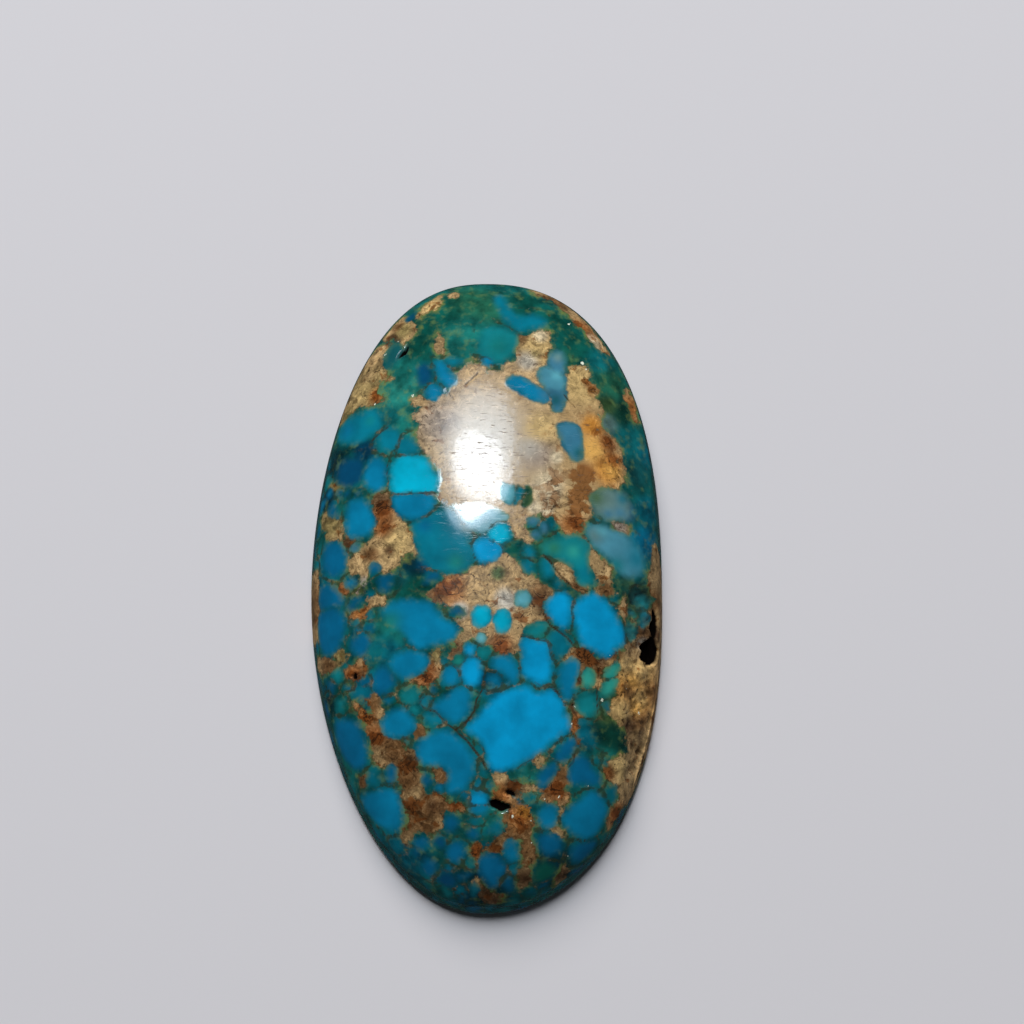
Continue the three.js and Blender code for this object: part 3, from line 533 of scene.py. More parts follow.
# Where the matrix takes another tone: place, how far it reaches, tone. The straw tone is a pale matrix tone
# lightened and greyed as painted sheen, most at the wide spot under the window's highlight at the crown.
PATCH_SPOTS = [
    (0.0, 10.0, 4.0, "straw_and_sheen"), (3.9, 10.9, 1.2, "wheat"), (3.2, 9.4, 0.8, "straw_and_sheen"),
    (-3.5, 11.5, 1.5, "mauve"), (3.6, 17.4, 1.4, "wheat"), (3.0, 16.4, 0.7, "straw_and_sheen"),
    (3.9, 18.4, 0.5, "cream"), (10.9, 13.6, 0.9, "sienna"), (2.5, 18.1, 0.5, "brown"),
    (3.5, 16.9, 0.35, "olive"), (6.9, 14.6, 1.5, "wheat"), (7.5, 14.7, 0.4, "rust"),
    # The honey spots right of the crown are painted glow, light shining through the translucent golden matrix
    (6.4, 12.0, 0.7, "tan"), (7.6, 11.4, 0.8, "gold"), (7.7, 9.6, 0.9, "honey_and_glow"), (8.7, 10.1, 0.6, "rust"),
    (8.6, 8.0, 1.1, "gold"), (9.0, 8.1, 0.6, "honey_and_glow"), (9.2, 8.8, 0.6, "sienna"), (7.0, 7.0, 1.4, "tan"),
    (6.4, 5.6, 1.2, "tan"), (6.2, 3.8, 0.8, "sienna"), (3.6, 9.0, 1.2, "mauve"), (4.4, 6.6, 1.2, "cream"),
    (5.0, 8.8, 0.4, "cream"), (4.2, 4.7, 0.45, "cream"), (3.4, 5.0, 0.4, "cream"), (2.4, 3.2, 0.9, "tan"),
    (-4.4, 21.2, 0.9, "wheat"), (-2.6, 22.1, 0.5, "tan"), (-6.4, 19.2, 0.7, "olive"),
    (-7.2, 18.6, 0.6, "umber"), (-6.9, 19.7, 0.5, "brown"), (-9.2, 14.8, 1.9, "olive"),
    (-9.5, 14.3, 0.9, "wheat"), (-9.0, 15.6, 0.8, "sand"), (-8.2, 13.9, 0.6, "sienna"),
    (-10.8, 12.9, 0.7, "olive"), (-8.9, 17.2, 0.6, "tan"), (-4.9, 13.1, 0.5, "tan"),
    (-3.3, 17.6, 0.7, "sand"), (5.2, 22.0, 1.2, "brown"), (7.4, 19.4, 1.0, "sienna"),
    (7.9, 18.5, 0.7, "cream"), (-7.7, 5.4, 0.9, "umber"), (-7.6, 4.6, 0.8, "rust"),
    (-7.4, 3.6, 0.7, "rust"), (-6.2, 2.6, 1.2, "wheat"), (-8.4, 1.6, 0.5, "brown"),
    (-7.0, 1.9, 0.35, "umber"), (-9.4, 0.7, 0.9, "tan"), (-9.0, -0.6, 0.6, "straw_and_sheen"),
    (-11.6, 4.2, 1.0, "olive"), (-11.2, 7.0, 0.6, "olive"), (-10.0, 2.6, 0.5, "umber"),
    (-10.6, -0.9, 0.6, "rust"), (-12.8, -1.5, 1.6, "brown"), (5.6, 0.4, 0.7, "tan"),
    (6.5, -0.8, 0.5, "brown"), (8.1, 0.9, 0.8, "tan"), (8.6, -0.9, 0.5, "brown"), (9.6, 3.8, 0.5, "mauve"),
    (12.6, 1.2, 1.2, "sand"), (12.6, -1.2, 0.8, "brown"), (0.8, 0.1, 0.4, "moss"), (2.4, -0.6, 0.9, "tan"),
    (3.7, -1.4, 0.9, "brown"), (3.9, -2.3, 0.6, "umber"), (3.2, -2.8, 0.8, "sand"),
    (-2.6, -1.0, 1.2, "sienna"), (-3.6, -1.6, 0.6, "brown"), (-1.9, -2.6, 0.5, "straw_and_sheen"),
    (-0.6, -1.2, 0.9, "tan"), (1.4, -1.8, 0.7, "straw_and_sheen"), (1.0, -5.2, 0.8, "rust"), (-1.4, -4.2, 0.8, "tan"),
    (-2.2, -5.4, 0.6, "brown"), (-9.0, -2.6, 0.8, "sienna"), (-8.0, -1.7, 0.6, "tan"),
    (-4.3, -7.4, 0.9, "rust"), (-3.8, -5.7, 0.5, "olive"), (-9.6, -7.0, 0.8, "rust"),
    (-9.3, -7.2, 0.35, "umber"), (-10.5, -5.6, 0.5, "olive"), (-11.6, -6.2, 0.8, "brown"),
    (-8.2, -9.0, 0.6, "brown"), (-8.8, -9.8, 0.8, "sienna"), (-8.0, -11.4, 0.9, "rust"),
    (-8.0, -12.6, 0.7, "sand"), (-6.4, -12.5, 0.9, "brown"), (-5.4, -13.4, 0.7, "umber"),
    (-4.4, -16.6, 1.2, "brown"), (-5.6, -17.6, 1.0, "brown"), (-5.9, -14.4, 1.0, "brown"),
    (-3.2, -16.3, 0.9, "brown"), (-6.6, -12.2, 1.3, "brown"), (-5.4, -14.6, 0.7, "brown"),
    (-5.0, -15.4, 0.4, "sand"), (-5.5, -16.4, 0.6, "umber"), (-4.6, -16.9, 0.8, "brown"),
    (-3.8, -16.4, 0.6, "umber"), (-2.2, -16.3, 0.6, "rust"), (-4.2, -17.8, 0.6, "brown"),
    (-5.5, -18.5, 0.5, "sand"), (-3.2, -14.2, 0.7, "brown"), (-8.8, -14.5, 0.6, "brown"),
    (-4.8, -11.2, 0.5, "brown"), (6.3, -9.5, 0.4, "umber"), (6.4, -10.6, 0.7, "sienna"),
    (6.4, -12.0, 0.5, "brown"), (6.8, -5.5, 0.6, "brown"), (8.0, -6.1, 0.5, "umber"),
    (7.2, -6.2, 0.6, "brown"), (8.1, -6.7, 0.5, "brown"), (9.3, -5.5, 0.5, "brown"),
    (6.6, -7.4, 0.4, "umber"), (1.0, -15.6, 0.7, "sienna"), (2.4, -17.2, 1.1, "sienna"),
    (2.2, -18.4, 1.6, "brown"), (0.6, -19.2, 0.6, "brown"), (-0.8, -19.5, 0.6, "rust"),
    (0.3, -23.0, 1.2, "umber"), (0.1, -22.4, 0.7, "umber"), (3.0, -19.4, 0.9, "brown"),
    (2.8, -21.4, 0.7, "umber"), (4.9, -15.2, 0.9, "rust"), (5.3, -14.2, 0.5, "brown"),
    (9.8, -17.0, 0.8, "sienna"), (5.6, -21.4, 0.6, "umber"), (2.0, -15.0, 0.6, "umber"),
    (2.7, -16.8, 0.5, "gold"), (9.8, -13.4, 1.0, "wheat"), (8.7, -13.9, 0.5, "rust"),
    (10.6, -13.8, 0.8, "tan"), (10.2, -6.4, 0.9, "wheat"), (10.7, -8.0, 2.2, "gold"),
    (10.4, -7.1, 0.7, "honey_and_glow"), (10.9, -9.0, 0.6, "honey_and_glow"), (11.4, -6.6, 0.9, "wheat"),
    (10.3, -7.9, 0.6, "brown"), (11.2, -8.4, 0.8, "wheat"), (9.8, -9.4, 0.9, "wheat"),
    (11.4, -10.0, 0.8, "brown"), (10.4, -10.4, 0.6, "umber"), (11.0, -11.6, 0.8, "sand"),
    (11.5, -3.6, 0.7, "brown"), (11.6, -4.5, 0.45, "straw_and_sheen"), (10.8, -5.0, 0.6, "sand"),
    (12.6, -3.6, 0.7, "umber"), (12.6, -8.0, 0.8, "brown"),
]

# Where the ground between the nodules takes another tone. The two wide ink spots at the lower end are painted
# shade there.
GROUND_SPOTS = [
    (-1.5, 21.5, 1.6, "leaf"), (0.2, 20.9, 1.3, "leaf"), (-2.8, 20.6, 1.2, "pine"),
    (-4.6, 19.2, 1.5, "pine"), (-5.0, 17.5, 1.2, "pine"), (-1.8, 18.2, 1.5, "sea"),
    (2.9, 21.4, 1.1, "pine"), (5.4, 19.8, 1.3, "pine"), (6.8, 17.7, 1.4, "pine"),
    (8.4, 17.0, 1.0, "lagoon"), (5.9, 16.6, 0.7, "leaf"), (9.3, 15.0, 1.2, "leaf"),
    (9.9, 12.8, 1.0, "forest"), (8.7, 11.8, 0.8, "mist_and_sheen"), (8.9, 13.2, 0.7, "moss"),
    (10.7, 10.6, 1.2, "lagoon"), (11.2, 8.4, 1.2, "bottle"), (12.0, 5.4, 1.0, "teal"),
    (11.8, 3.0, 1.1, "blue"), (10.4, 0.2, 1.2, "lagoon"), (10.9, -1.2, 1.2, "forest"),
    (10.2, -0.2, 0.6, "moss"), (9.4, -0.6, 0.8, "pine"), (12.0, 10.0, 1.0, "teal"),
    (10.2, 5.0, 0.6, "slate"), (-6.5, 13.6, 1.5, "mint"), (-5.6, 11.6, 1.2, "sea"),
    (-6.0, 15.8, 0.9, "sea"), (-7.2, 12.2, 0.8, "lagoon"), (-11.4, 9.0, 1.2, "ink_and_shade"),
    (-11.8, 6.2, 0.8, "ink_and_shade"), (-10.7, 5.7, 0.7, "sea"), (-9.0, 9.6, 0.7, "navy"), (-7.4, -0.6, 1.4, "pine"),
    (-5.0, -0.9, 1.0, "pine"), (-3.0, 0.0, 0.8, "sea"), (-6.2, -0.2, 0.6, "bottle"),
    (-5.4, 0.6, 0.8, "ink_and_shade"), (-4.6, 0.7, 0.5, "navy"), (-7.4, -3.8, 1.2, "sea"), (-7.2, -5.2, 0.9, "teal"),
    (-8.6, -8.0, 1.1, "teal"), (-10.4, -8.6, 1.2, "pine"), (-6.6, -8.7, 0.8, "pine"),
    (-12.2, 1.0, 0.7, "teal"), (-12.0, -1.0, 0.9, "teal"), (-9.4, -0.6, 0.7, "ink_and_shade"),
    (0.2, -7.7, 0.8, "ink_and_shade"), (0.4, -8.4, 0.6, "teal"), (2.6, -14.4, 1.0, "sea"), (0.4, -17.6, 1.0, "sea"),
    (8.8, -11.4, 1.3, "forest"), (8.4, -12.8, 0.7, "sea"), (7.2, -11.6, 0.7, "teal"),
    (8.6, -9.9, 0.7, "moss"), (9.2, -8.6, 0.5, "moss"), (0.0, -22.6, 2.6, "ink_and_shade"),
    (-5.4, -20.4, 1.4, "teal"), (-6.6, -19.0, 1.0, "teal"), (5.0, -20.8, 1.6, "ink_and_shade"),
    (9.0, -16.4, 1.0, "lagoon"), (8.8, -15.2, 0.6, "sea"), (3.0, -15.8, 0.7, "lagoon"),
    (7.4, 1.9, 0.7, "sea"), (4.0, 2.2, 0.7, "leaf"), (0.9, -0.1, 0.5, "moss"), (-1.0, -0.5, 0.5, "sea"),
    (10.4, -2.4, 0.6, "leaf"), (-3.4, -9.0, 0.8, "pine"), (-4.4, -10.7, 0.7, "sea"),
    (4.0, -4.2, 0.7, "leaf"), (-11.5, -8.6, 0.9, "ink_and_shade"),
]

# Where iron has stained the matrix to rust: place, how far it reaches, how much
RUSTY = [
    (5.0, 6.8, 1.5, 0.45), (4.7, 5.3, 1.4, 0.42), (6.9, 7.4, 1.5, 0.75), (6.7, 6.2, 1.5, 0.8),
    (6.6, 5.0, 1.3, 0.8), (6.5, 4.0, 0.9, 0.8), (8.0, 10.9, 1.0, 0.42), (8.8, 8.8, 1.0, 0.3),
    (7.2, 14.9, 0.5, 0.9), (7.7, 14.3, 0.5, 0.9), (8.8, 10.3, 0.7, 0.6), (-7.6, 5.0, 0.8, 0.9),
    (-7.4, 3.6, 0.5, 0.6), (-2.7, -1.2, 1.3, 0.45), (-3.4, -1.6, 0.6, 0.6), (3.8, -1.9, 0.9, 0.8),
    (2.6, -3.1, 0.8, 0.5), (4.3, -3.2, 0.5, 0.7), (1.0, -5.3, 0.7, 0.6), (7.2, -5.7, 1.1, 1.0),
    (8.0, -6.8, 0.4, 0.8), (-4.4, -7.2, 0.8, 0.6), (-9.6, -7.0, 0.6, 0.7), (-8.6, -10.0, 0.9, 0.5),
    (-7.8, -11.6, 0.7, 0.6), (-5.6, -13.6, 1.0, 0.5), (-5.2, -16.4, 1.1, 0.5), (-2.3, -16.3, 0.6, 0.6),
    (6.4, -10.6, 0.6, 0.6), (4.9, -15.0, 0.8, 0.6), (2.0, -15.1, 0.7, 0.6), (2.3, -17.4, 0.9, 0.4),
    (0.7, -19.2, 0.6, 0.5), (-0.8, -19.5, 0.5, 0.6), (9.8, -17.0, 0.7, 0.6), (-4.4, 21.3, 0.7, 0.2),
    (6.9, 19.8, 0.7, 0.6), (-3.3, 17.7, 0.5, 0.2), (-8.2, 13.9, 0.5, 0.5),
]

# Where a nodule's own colour shifts: place, how far it reaches, tone
NODULE_SPOTS = [
    (7.9, 5.9, 0.9, "moss"), (9.7, 4.9, 0.8, "slate"), (7.8, 3.1, 0.9, "mist_and_sheen"), (10.9, 1.6, 1.2, "teal"),
    (9.4, 1.0, 0.8, "lagoon"), (-6.9, -3.3, 1.1, "sea"), (-6.4, -4.6, 0.8, "sea"), (-2.2, 0.9, 0.9, "sea"),
    (-4.5, 3.6, 0.8, "deep"), (6.2, 1.8, 0.7, "mint"), (4.8, 2.0, 0.8, "leaf"), (7.0, 0.2, 0.9, "teal"),
    (4.3, 13.6, 0.7, "slate"), (5.2, 16.7, 0.6, "mist_and_sheen"), (0.8, 17.5, 1.0, "shade"),
    (11.0, 2.8, 0.9, "teal"), (8.3, 3.5, 0.7, "pale"), (9.9, 6.0, 0.7, "teal"), (8.8, 4.7, 0.6, "slate"),
    (6.7, 9.2, 0.7, "bottle"), (-8.6, 11.9, 0.6, "lagoon"), (-10.4, 11.4, 0.8, "blue"),
    (5.0, 13.2, 0.7, "bottle"), (5.1, 15.2, 0.6, "pale"),
]

# Dark seams of iron-stained matrix: half width, then the line each follows
SEAMS = [
    (0.072, [(-2.3, -10.9), (-1.9, -11.3), (-1.2, -12.2), (-0.5, -13.1), (0.0, -13.8)]),
    (0.065, [(-2.1, -11.0), (-1.3, -10.5), (-0.8, -9.8), (-0.7, -9.0), (-0.3, -8.3)]),
    (0.050, [(-3.0, -10.6), (-2.2, -11.0)]),
    (0.043, [(-4.2, -8.4), (-4.7, -9.1), (-4.3, -9.6), (-3.6, -9.7), (-3.0, -10.4)]),
    (0.050, [(4.6, -8.1), (5.2, -8.6), (5.75, -9.35)]),
    (0.079, [(4.0, -2.9), (4.5, -3.7), (5.2, -4.1), (5.7, -4.5), (6.3, -5.2)]),
    (0.065, [(7.9, -6.3), (8.05, -7.3), (7.95, -8.3), (7.95, -9.4), (8.0, -10.3)]),
    (0.036, [(6.1, -11.1), (5.2, -11.8), (4.3, -12.4), (3.6, -13.0), (2.6, -13.4), (2.2, -13.8)]),
    (0.072, [(4.1, 1.5), (4.7, 0.8), (5.3, 0.0), (5.9, -0.55), (6.7, -0.85), (7.2, -1.0)]),
    (0.043, [(2.2, -4.5), (2.9, -4.5), (3.7, -4.75), (4.3, -4.9)]),
    (0.036, [(-6.9, 6.05), (-5.2, 6.03), (-3.7, 6.05)]),
    (0.072, [(-0.75, 15.2), (-1.1, 14.8), (-1.5, 14.3)]),
    (0.079, [(-3.0, 13.9), (-2.5, 13.3)]),
    (0.043, [(5.6, 13.7), (6.0, 13.2), (6.4, 12.7)]),
    (0.050, [(-7.2, 11.3), (-7.7, 11.0), (-8.5, 10.2)]),
    (0.036, [(-7.2, 8.9), (-7.2, 7.5), (-7.1, 6.6)]),
    (0.043, [(8.5, 9.6), (9.0, 8.8), (9.6, 7.6)]),
    (0.050, [(3.4, -7.7), (4.2, -8.1), (4.7, -8.0), (5.2, -8.5)]),
    (0.043, [(6.3, -12.6), (6.2, -13.2), (5.8, -13.6)]),
]

# Quartz grains, pale and painted near white as their glints: place and radius
GRAINS = [
    (-5.45, 13.6, 0.16), (-8.3, 13.2, 0.14), (-6.65, 18.2, 0.14), (-7.6, 17.2, 0.14), (-7.45, 17.6, 0.1),
    (7.05, 16.4, 0.17), (7.3, 15.9, 0.13), (3.05, 20.8, 0.1), (6.1, 19.7, 0.16), (8.25, -8.85, 0.18),
    (11.2, -9.4, 0.15), (10.2, -6.75, 0.11), (10.1, -7.9, 0.11), (12.0, -8.3, 0.11), (6.05, -10.6, 0.12),
    (8.8, -5.6, 0.1), (7.2, -14.9, 0.15), (5.15, -15.7, 0.14), (4.1, -15.9, 0.12), (3.65, -15.5, 0.1),
    (3.0, -16.3, 0.1), (1.85, -17.1, 0.14), (3.15, -17.4, 0.14), (1.4, -18.2, 0.11), (3.2, -18.9, 0.1),
    (9.7, -15.9, 0.13), (5.8, -19.75, 0.1), (5.0, -20.6, 0.1),
]

# Natural pits: place, half sizes across and along, depth, turn in degrees
PITS = [
    (12.2, -5.0, 0.8, 1.15, 0.9, -4), (12.45, -3.1, 0.38, 1.5, 0.5, 3), (1.05, -16.5, 0.34, 0.8, 0.45, 66),
    (1.6, -15.6, 0.3, 0.6, 0.35, 51), (-9.4, 16.3, 0.34, 0.5, 0.4, -30),
    (-6.35, 17.2, 0.24, 0.95, 0.3, -36), (-9.4, -7.1, 0.24, 0.32, 0.3, 30),
    (-9.0, 17.0, 0.22, 0.25, 0.3, 0), (6.35, -9.35, 0.16, 0.2, 0.2, 0),
]

# Where the nodules run together with no joint between them: place and reach
MERGED = [
    (-6.9, -4.0, 1.5), (-6.6, -6.4, 1.2), (-8.0, -5.6, 1.0), (9.4, 2.6, 1.4), (9.2, 5.2, 1.3),
    (-9.4, 7.8, 1.3), (4.9, 14.6, 1.2), (5.2, 16.2, 0.8), (-3.0, 2.5, 1.2), (5.8, 1.8, 0.8),
    (-11.2, -2.0, 1.2), (-4.2, -19.8, 1.2),
]

# Places with no small nodules: place and reach
BARE_GROUND = [(8.8, -11.3, 1.9), (-5.6, -0.5, 1.6), (10.9, 6.5, 3.0), (10.6, 0.6, 2.2), (12.0, 3.5, 2.0)]

# Depths are followed no farther than this outside an outline
FAR = 1.0


def rounded(corners):
    """A closed outline with its corners cut twice."""
    loop = np.array(corners, float)
    for _ in range(2):
        ahead = np.roll(loop, -1, axis=0)
        loop = np.stack([0.75 * loop + 0.25 * ahead, 0.25 * loop + 0.75 * ahead], 1).reshape(-1, 2)
    return loop


def gap_squared(place, start, end):
    """Squared distance from each place to a straight line between two points."""
    run = end - start
    share = np.clip(((place - start) @ run) / (run @ run), 0, 1)
    return ((place - start - share[:, None] * run) ** 2).sum(1)


def depth_inside(corners, place):
    """Distance in millimetres from each place to an outline, positive inside it and never below -FAR."""
    loop = rounded(corners)
    depth = np.full(len(place), -FAR)
    near = np.all((place > loop.min(0) - FAR) & (place < loop.max(0) + FAR), axis=1)
    here = place[near]
    nearest = np.full(len(here), FAR**2)
    inside = np.zeros(len(here), bool)
    for start, end in zip(loop, np.roll(loop, -1, axis=0)):
        nearest = np.minimum(nearest, gap_squared(here, start, end))
        if start[1] == end[1]:
            continue
        level = (here[:, 1] - start[1]) / (end[1] - start[1])
        crossed = (start[1] > here[:, 1]) != (end[1] > here[:, 1])
        inside ^= crossed & (here[:, 0] < start[0] + level * (end[0] - start[0]))
    gap = np.sqrt(nearest)
    depth[near] = np.where(inside, np.maximum(gap, 1e-6), -gap)
    return depth


def distance_to(spot_x, spot_y):
    """Distance in millimetres of every marking from a spot."""
    return np.hypot(markings_at[:, 0] - spot_x, markings_at[:, 1] - spot_y)


def fading(spot_x, spot_y, reach):
    """1 at a spot, falling to about an eighth at its reach."""
    return np.exp(-2 * (distance_to(spot_x, spot_y) / reach) ** 2)


def blended(spots, base, weight):
    """Colour of soft-edged spots laid over a base tone of a given weight, the small ones strongest."""
    total = np.full(len(markings_at), weight)
    colour = np.outer(total, TONES[base])
    for spot_x, spot_y, reach, tone in spots:
        share = fading(spot_x, spot_y, reach) / reach
        total += share
        colour += np.outer(share, TONES[tone])
    return colour / total[:, None]


def swirl(place, size, strength, seed):
    """Small natural bends for a set of places: a noise of a size in millimetres, moved by a strength."""
    across = [noise.noise(Vector((px / size, py / size, seed))) for px, py in place]
    along = [noise.noise(Vector((px / size, py / size, seed + 40))) for px, py in place]
    return place + strength * np.stack([across, along], 1)


def lump(middle_x, middle_y, size, least, most, corners):
    """A rough outline round a place, its corners set by chance between two shares of a size."""
    turns = np.sort(chance.uniform(0, 2 * math.pi, corners))
    radii = size * chance.uniform(least, most, corners)
    return [(middle_x + r * math.cos(t), middle_y + r * math.sin(t)) for t, r in zip(turns, radii)]


# The back shows nodules and matrix of the same kind, set by chance from a fixed seed: patches of matrix, then
# nodules from the largest down, each where one of a few tries finds room
BACK_PATCHES = 46
BACK_PATCH_TONES = ["tan", "sand", "brown", "rust", "sienna", "umber"]
BACK_SPOT_REACH = 1.6
BACK_NODULE_SIZES = 0.3 + 1.9 * np.linspace(1, 0, 280) ** 2.2
BACK_NODULE_TONES = ["sky", "blue", "blue", "deep", "teal", "lagoon", "navy"]
BACK_TRIES = 12
chance = np.random.default_rng(7)
back_nodules, back_patches, back_spots, taken = [], [], [], []
for size in chance.uniform(0.8, 2.6, BACK_PATCHES):
    across, along = BACK_OFFSET + chance.uniform(-12, 12), chance.uniform(-23, 23)
    back_patches.append(lump(across, along, size, 0.35, 1.3, 9))
    tone = str(chance.choice(BACK_PATCH_TONES))
    back_spots.append((across, along, BACK_SPOT_REACH, tone))
    taken.append((across, along, 0.55 * size))
for size in BACK_NODULE_SIZES:
    for _ in range(BACK_TRIES):
        across, along = BACK_OFFSET + chance.uniform(-12.5, 12.5), chance.uniform(-23, 23)
        if all(math.hypot(across - x, along - y) > 0.9 * (size + r) for x, y, r in taken):
            tone = str(chance.choice(BACK_NODULE_TONES))
            back_nodules.append((tone, lump(across, along, size, 0.8, 1.2, 9)))
            taken.append((across, along, size))
            break

# Cutting an outline's corners takes a little off it, which is given back, and neighbouring nodules melt into
# each other's colour over a short way, both in millimetres
CORNERS_LOST = 0.1
MELT = 0.09
nodule_place = swirl(markings_at, 1.3, 0.13, 1.5)
patch_place = swirl(swirl(markings_at, 1.1, 0.22, 4.5), 0.42, 0.14, 8.5)
nodule = np.full(len(points), -FAR)
beside = np.full(len(points), -FAR)
nodule_share = np.zeros((len(points), 1))
nodule_colour = np.zeros((len(points), 3))


def lay_nodule(depth, colour):
    """Adds a nodule: how deep each place lies in its nearest and next nodules, and the colour there."""
    beside[:] = np.where(depth > nodule, nodule, np.maximum(beside, depth))
    nodule[:] = np.maximum(nodule, depth)
    share = np.exp(depth / MELT)[:, None]
    nodule_share[:] += share
    nodule_colour[:] += share * colour


for tone, loop in NODULES + back_nodules:
    lay_nodule(depth_inside(loop, nodule_place) + CORNERS_LOST, TONES[tone])
patch = np.full(len(points), -FAR)
for loop in PATCHES + back_patches:
    patch = np.maximum(patch, depth_inside(loop, patch_place) + CORNERS_LOST)

# Small nodules crowd the gaps between the large ones below the green top: set by chance, largest first, each
# at the first of a few places with room
FILLER_SIZES = np.linspace(0.75, 0.2, 380)
FILLER_TONES = ["teal", "lagoon", "teal", "deep", "blue"]
FILLER_TRIES = 14
FILLER_SHADE = 0.8
FILLERS_BELOW = 9.5
chance = np.random.default_rng(11)
face = np.flatnonzero(on_face)
bare = markings_at[:, 1] >= FILLERS_BELOW
for bare_x, bare_y, reach in BARE_GROUND:
    bare |= distance_to(bare_x, bare_y) < reach
for size in FILLER_SIZES:
    tries = chance.choice(face, FILLER_TRIES)
    free = tries[(nodule[tries] < -0.92 * size) & (patch[tries] < -0.3 * size) & ~bare[tries]]
    if len(free) == 0:
        continue
    loop = lump(*markings_at[free[0]], size, 0.85, 1.25, 7)
    tone = str(chance.choice(FILLER_TONES))
    lay_nodule(depth_inside(loop, nodule_place), FILLER_SHADE * TONES[tone])
nodule_colour /= nodule_share

# At its middle a spot takes over this much of a nodule's own colour
SHIFT = 0.8
for spot_x, spot_y, reach, tone in NODULE_SPOTS:
    share = SHIFT * fading(spot_x, spot_y, reach)[:, None]
    nodule_colour = nodule_colour * (1 - share) + TONES[tone] * share

# Joints between nodules fade where nodules merge, and low on the rim, between two heights
JOINTS_GONE, JOINTS_FULL = 1.6, 3.0
jointed = np.ones(len(points))
for merged_x, merged_y, reach in MERGED:
    jointed *= 1 - np.exp(-((distance_to(merged_x, merged_y) / reach) ** 4))
jointed[on_face] *= eased(points[on_face, 2], JOINTS_GONE, JOINTS_FULL)

seam = np.full(len(points), -FAR)
for half_width, line in SEAMS:
    for start, end in zip(np.array(line[:-1]), np.array(line[1:])):
        seam = np.maximum(seam, half_width - np.sqrt(gap_squared(nodule_place, start, end)))
grain = np.full(len(points), -FAR)
for grain_x, grain_y, radius in GRAINS:
    grain = np.maximum(grain, radius - distance_to(grain_x, grain_y))
patch_colour = blended(PATCH_SPOTS + back_spots, "tan", 0.12)
ground_colour = blended(GROUND_SPOTS, "shade", 0.08)
rusty = np.zeros(len(points))
for spot_x, spot_y, reach, strength in RUSTY:
    rusty = np.maximum(rusty, strength * fading(spot_x, spot_y, reach))

# The pale matrix near the crown took the polish best, and the golden matrix beside it next: place, spread
# across and along in square millimetres, how much
POLISHED = [(0.7, 9.8, 19, 36, 1.0), (7.0, 9.5, 8, 45, 0.7)]
polish = np.zeros(len(points))
for spot_x, spot_y, across, along, strength in POLISHED:
    away = (markings_at[:, 0] - spot_x) ** 2 / across + (markings_at[:, 1] - spot_y) ** 2 / along
    polish = np.maximum(polish, strength * np.exp(-away))

# Pits are bowls with bent rims
pit = np.zeros(len(points))
pit_place = swirl(swirl(markings_at, 0.8, 0.34, 2.5), 0.45, 0.14, 6.5)
for pit_x, pit_y, across, along, deep, turn in PITS:
    angle = math.radians(turn)
    side = (pit_place - [pit_x, pit_y]) @ np.array([math.cos(angle), math.sin(angle)]) / across
    length = (pit_place - [pit_x, pit_y]) @ np.array([-math.sin(angle), math.cos(angle)]) / along
    pit = np.maximum(pit, deep * np.maximum(1 - side**2 - length**2, 0))

# Relief below the polished face: the matrix lies lower and is grainy, the seams are sunk, and the open matrix
# is lumpy. The lapped back keeps a share of it.
UNDERCUT = 0.004
GRAIN_RELIEF = 0.006
SEAM_DEPTH = 0.015
OPEN_ROUGHNESS = 0.34
LUMP_SIZE = 0.55
BACK_RELIEF = 0.4
open_matrix = np.clip(hollow_depth(markings_at[:, 0], markings_at[:, 1]) / HOLLOW_DEPTH, 0, 1)
open_matrix[~on_face] = 0
lumps = np.array([noise.fractal(Vector(p / LUMP_SIZE), 0.7, 2.1, 5) for p in points])
lumps = np.clip(0.5 + 0.5 * lumps, 0, 1)
in_matrix = eased(patch, -0.02, 0.2) * (1 - eased(nodule, -0.08, 0.05))
sunk = in_matrix * (UNDERCUT + GRAIN_RELIEF * lumps) + SEAM_DEPTH * eased(seam, -0.08, 0.05)
sunk += open_matrix * OPEN_ROUGHNESS * lumps + pit
sunk[~on_face] *= BACK_RELIEF

mesh = bpy.data.meshes.new("turquoise_stone")
mesh.from_pydata((points * MM).tolist(), [], polygons)
mesh.update()
normals = np.zeros(len(points) * 3)
mesh.vertex_normals.foreach_get("vector", normals)
moved = points - normals.reshape(-1, 3) * sunk[:, None]
moved[:, 2] = np.maximum(moved[:, 2], 0)
mesh.vertices.foreach_set("co", (moved * MM).ravel())
mesh.shade_smooth()
mesh.update()

# What the material reads at each point. A pit is dull from a slight depth down, and its depths are painted
# black as shade.
DULL_DEPTH, PIT_SHADE_DEPTH = 0.04, 0.4
# The deepest lumps of the open matrix are darkened: painted shade in its hollows
CREVICE_SHADE = 0.55
measures = {
    "nodule": nodule,
    "beside": nodule - beside,
    "patch": patch,
    "seam": seam,
    "grain": grain,
    "open": np.maximum(open_matrix, np.clip(pit / DULL_DEPTH, 0, 1)),
    "pit": np.clip(pit / PIT_SHADE_DEPTH, 0, 1),
    "crevice": CREVICE_SHADE * open_matrix * eased(lumps, 0.6, 0.8),
    "jointed": jointed,
    "rusty": rusty,
    "back": (~on_face).astype(float),
    "polish": polish,
}
colours = {"nodule_colour": nodule_colour, "patch_colour": patch_colour, "ground_colour": ground_colour}
for name, values in measures.items():
    mesh.attributes.new(name, "FLOAT", "POINT").data.foreach_set("value", values)
for name, values in colours.items():
    opaque = np.concatenate([values, np.ones((len(points), 1))], 1)
    mesh.attributes.new(name, "FLOAT_COLOR", "POINT").data.foreach_set("color", opaque.ravel())
stone = bpy.data.objects.new("turquoise_stone", mesh)
bpy.context.scene.collection.objects.link(stone)

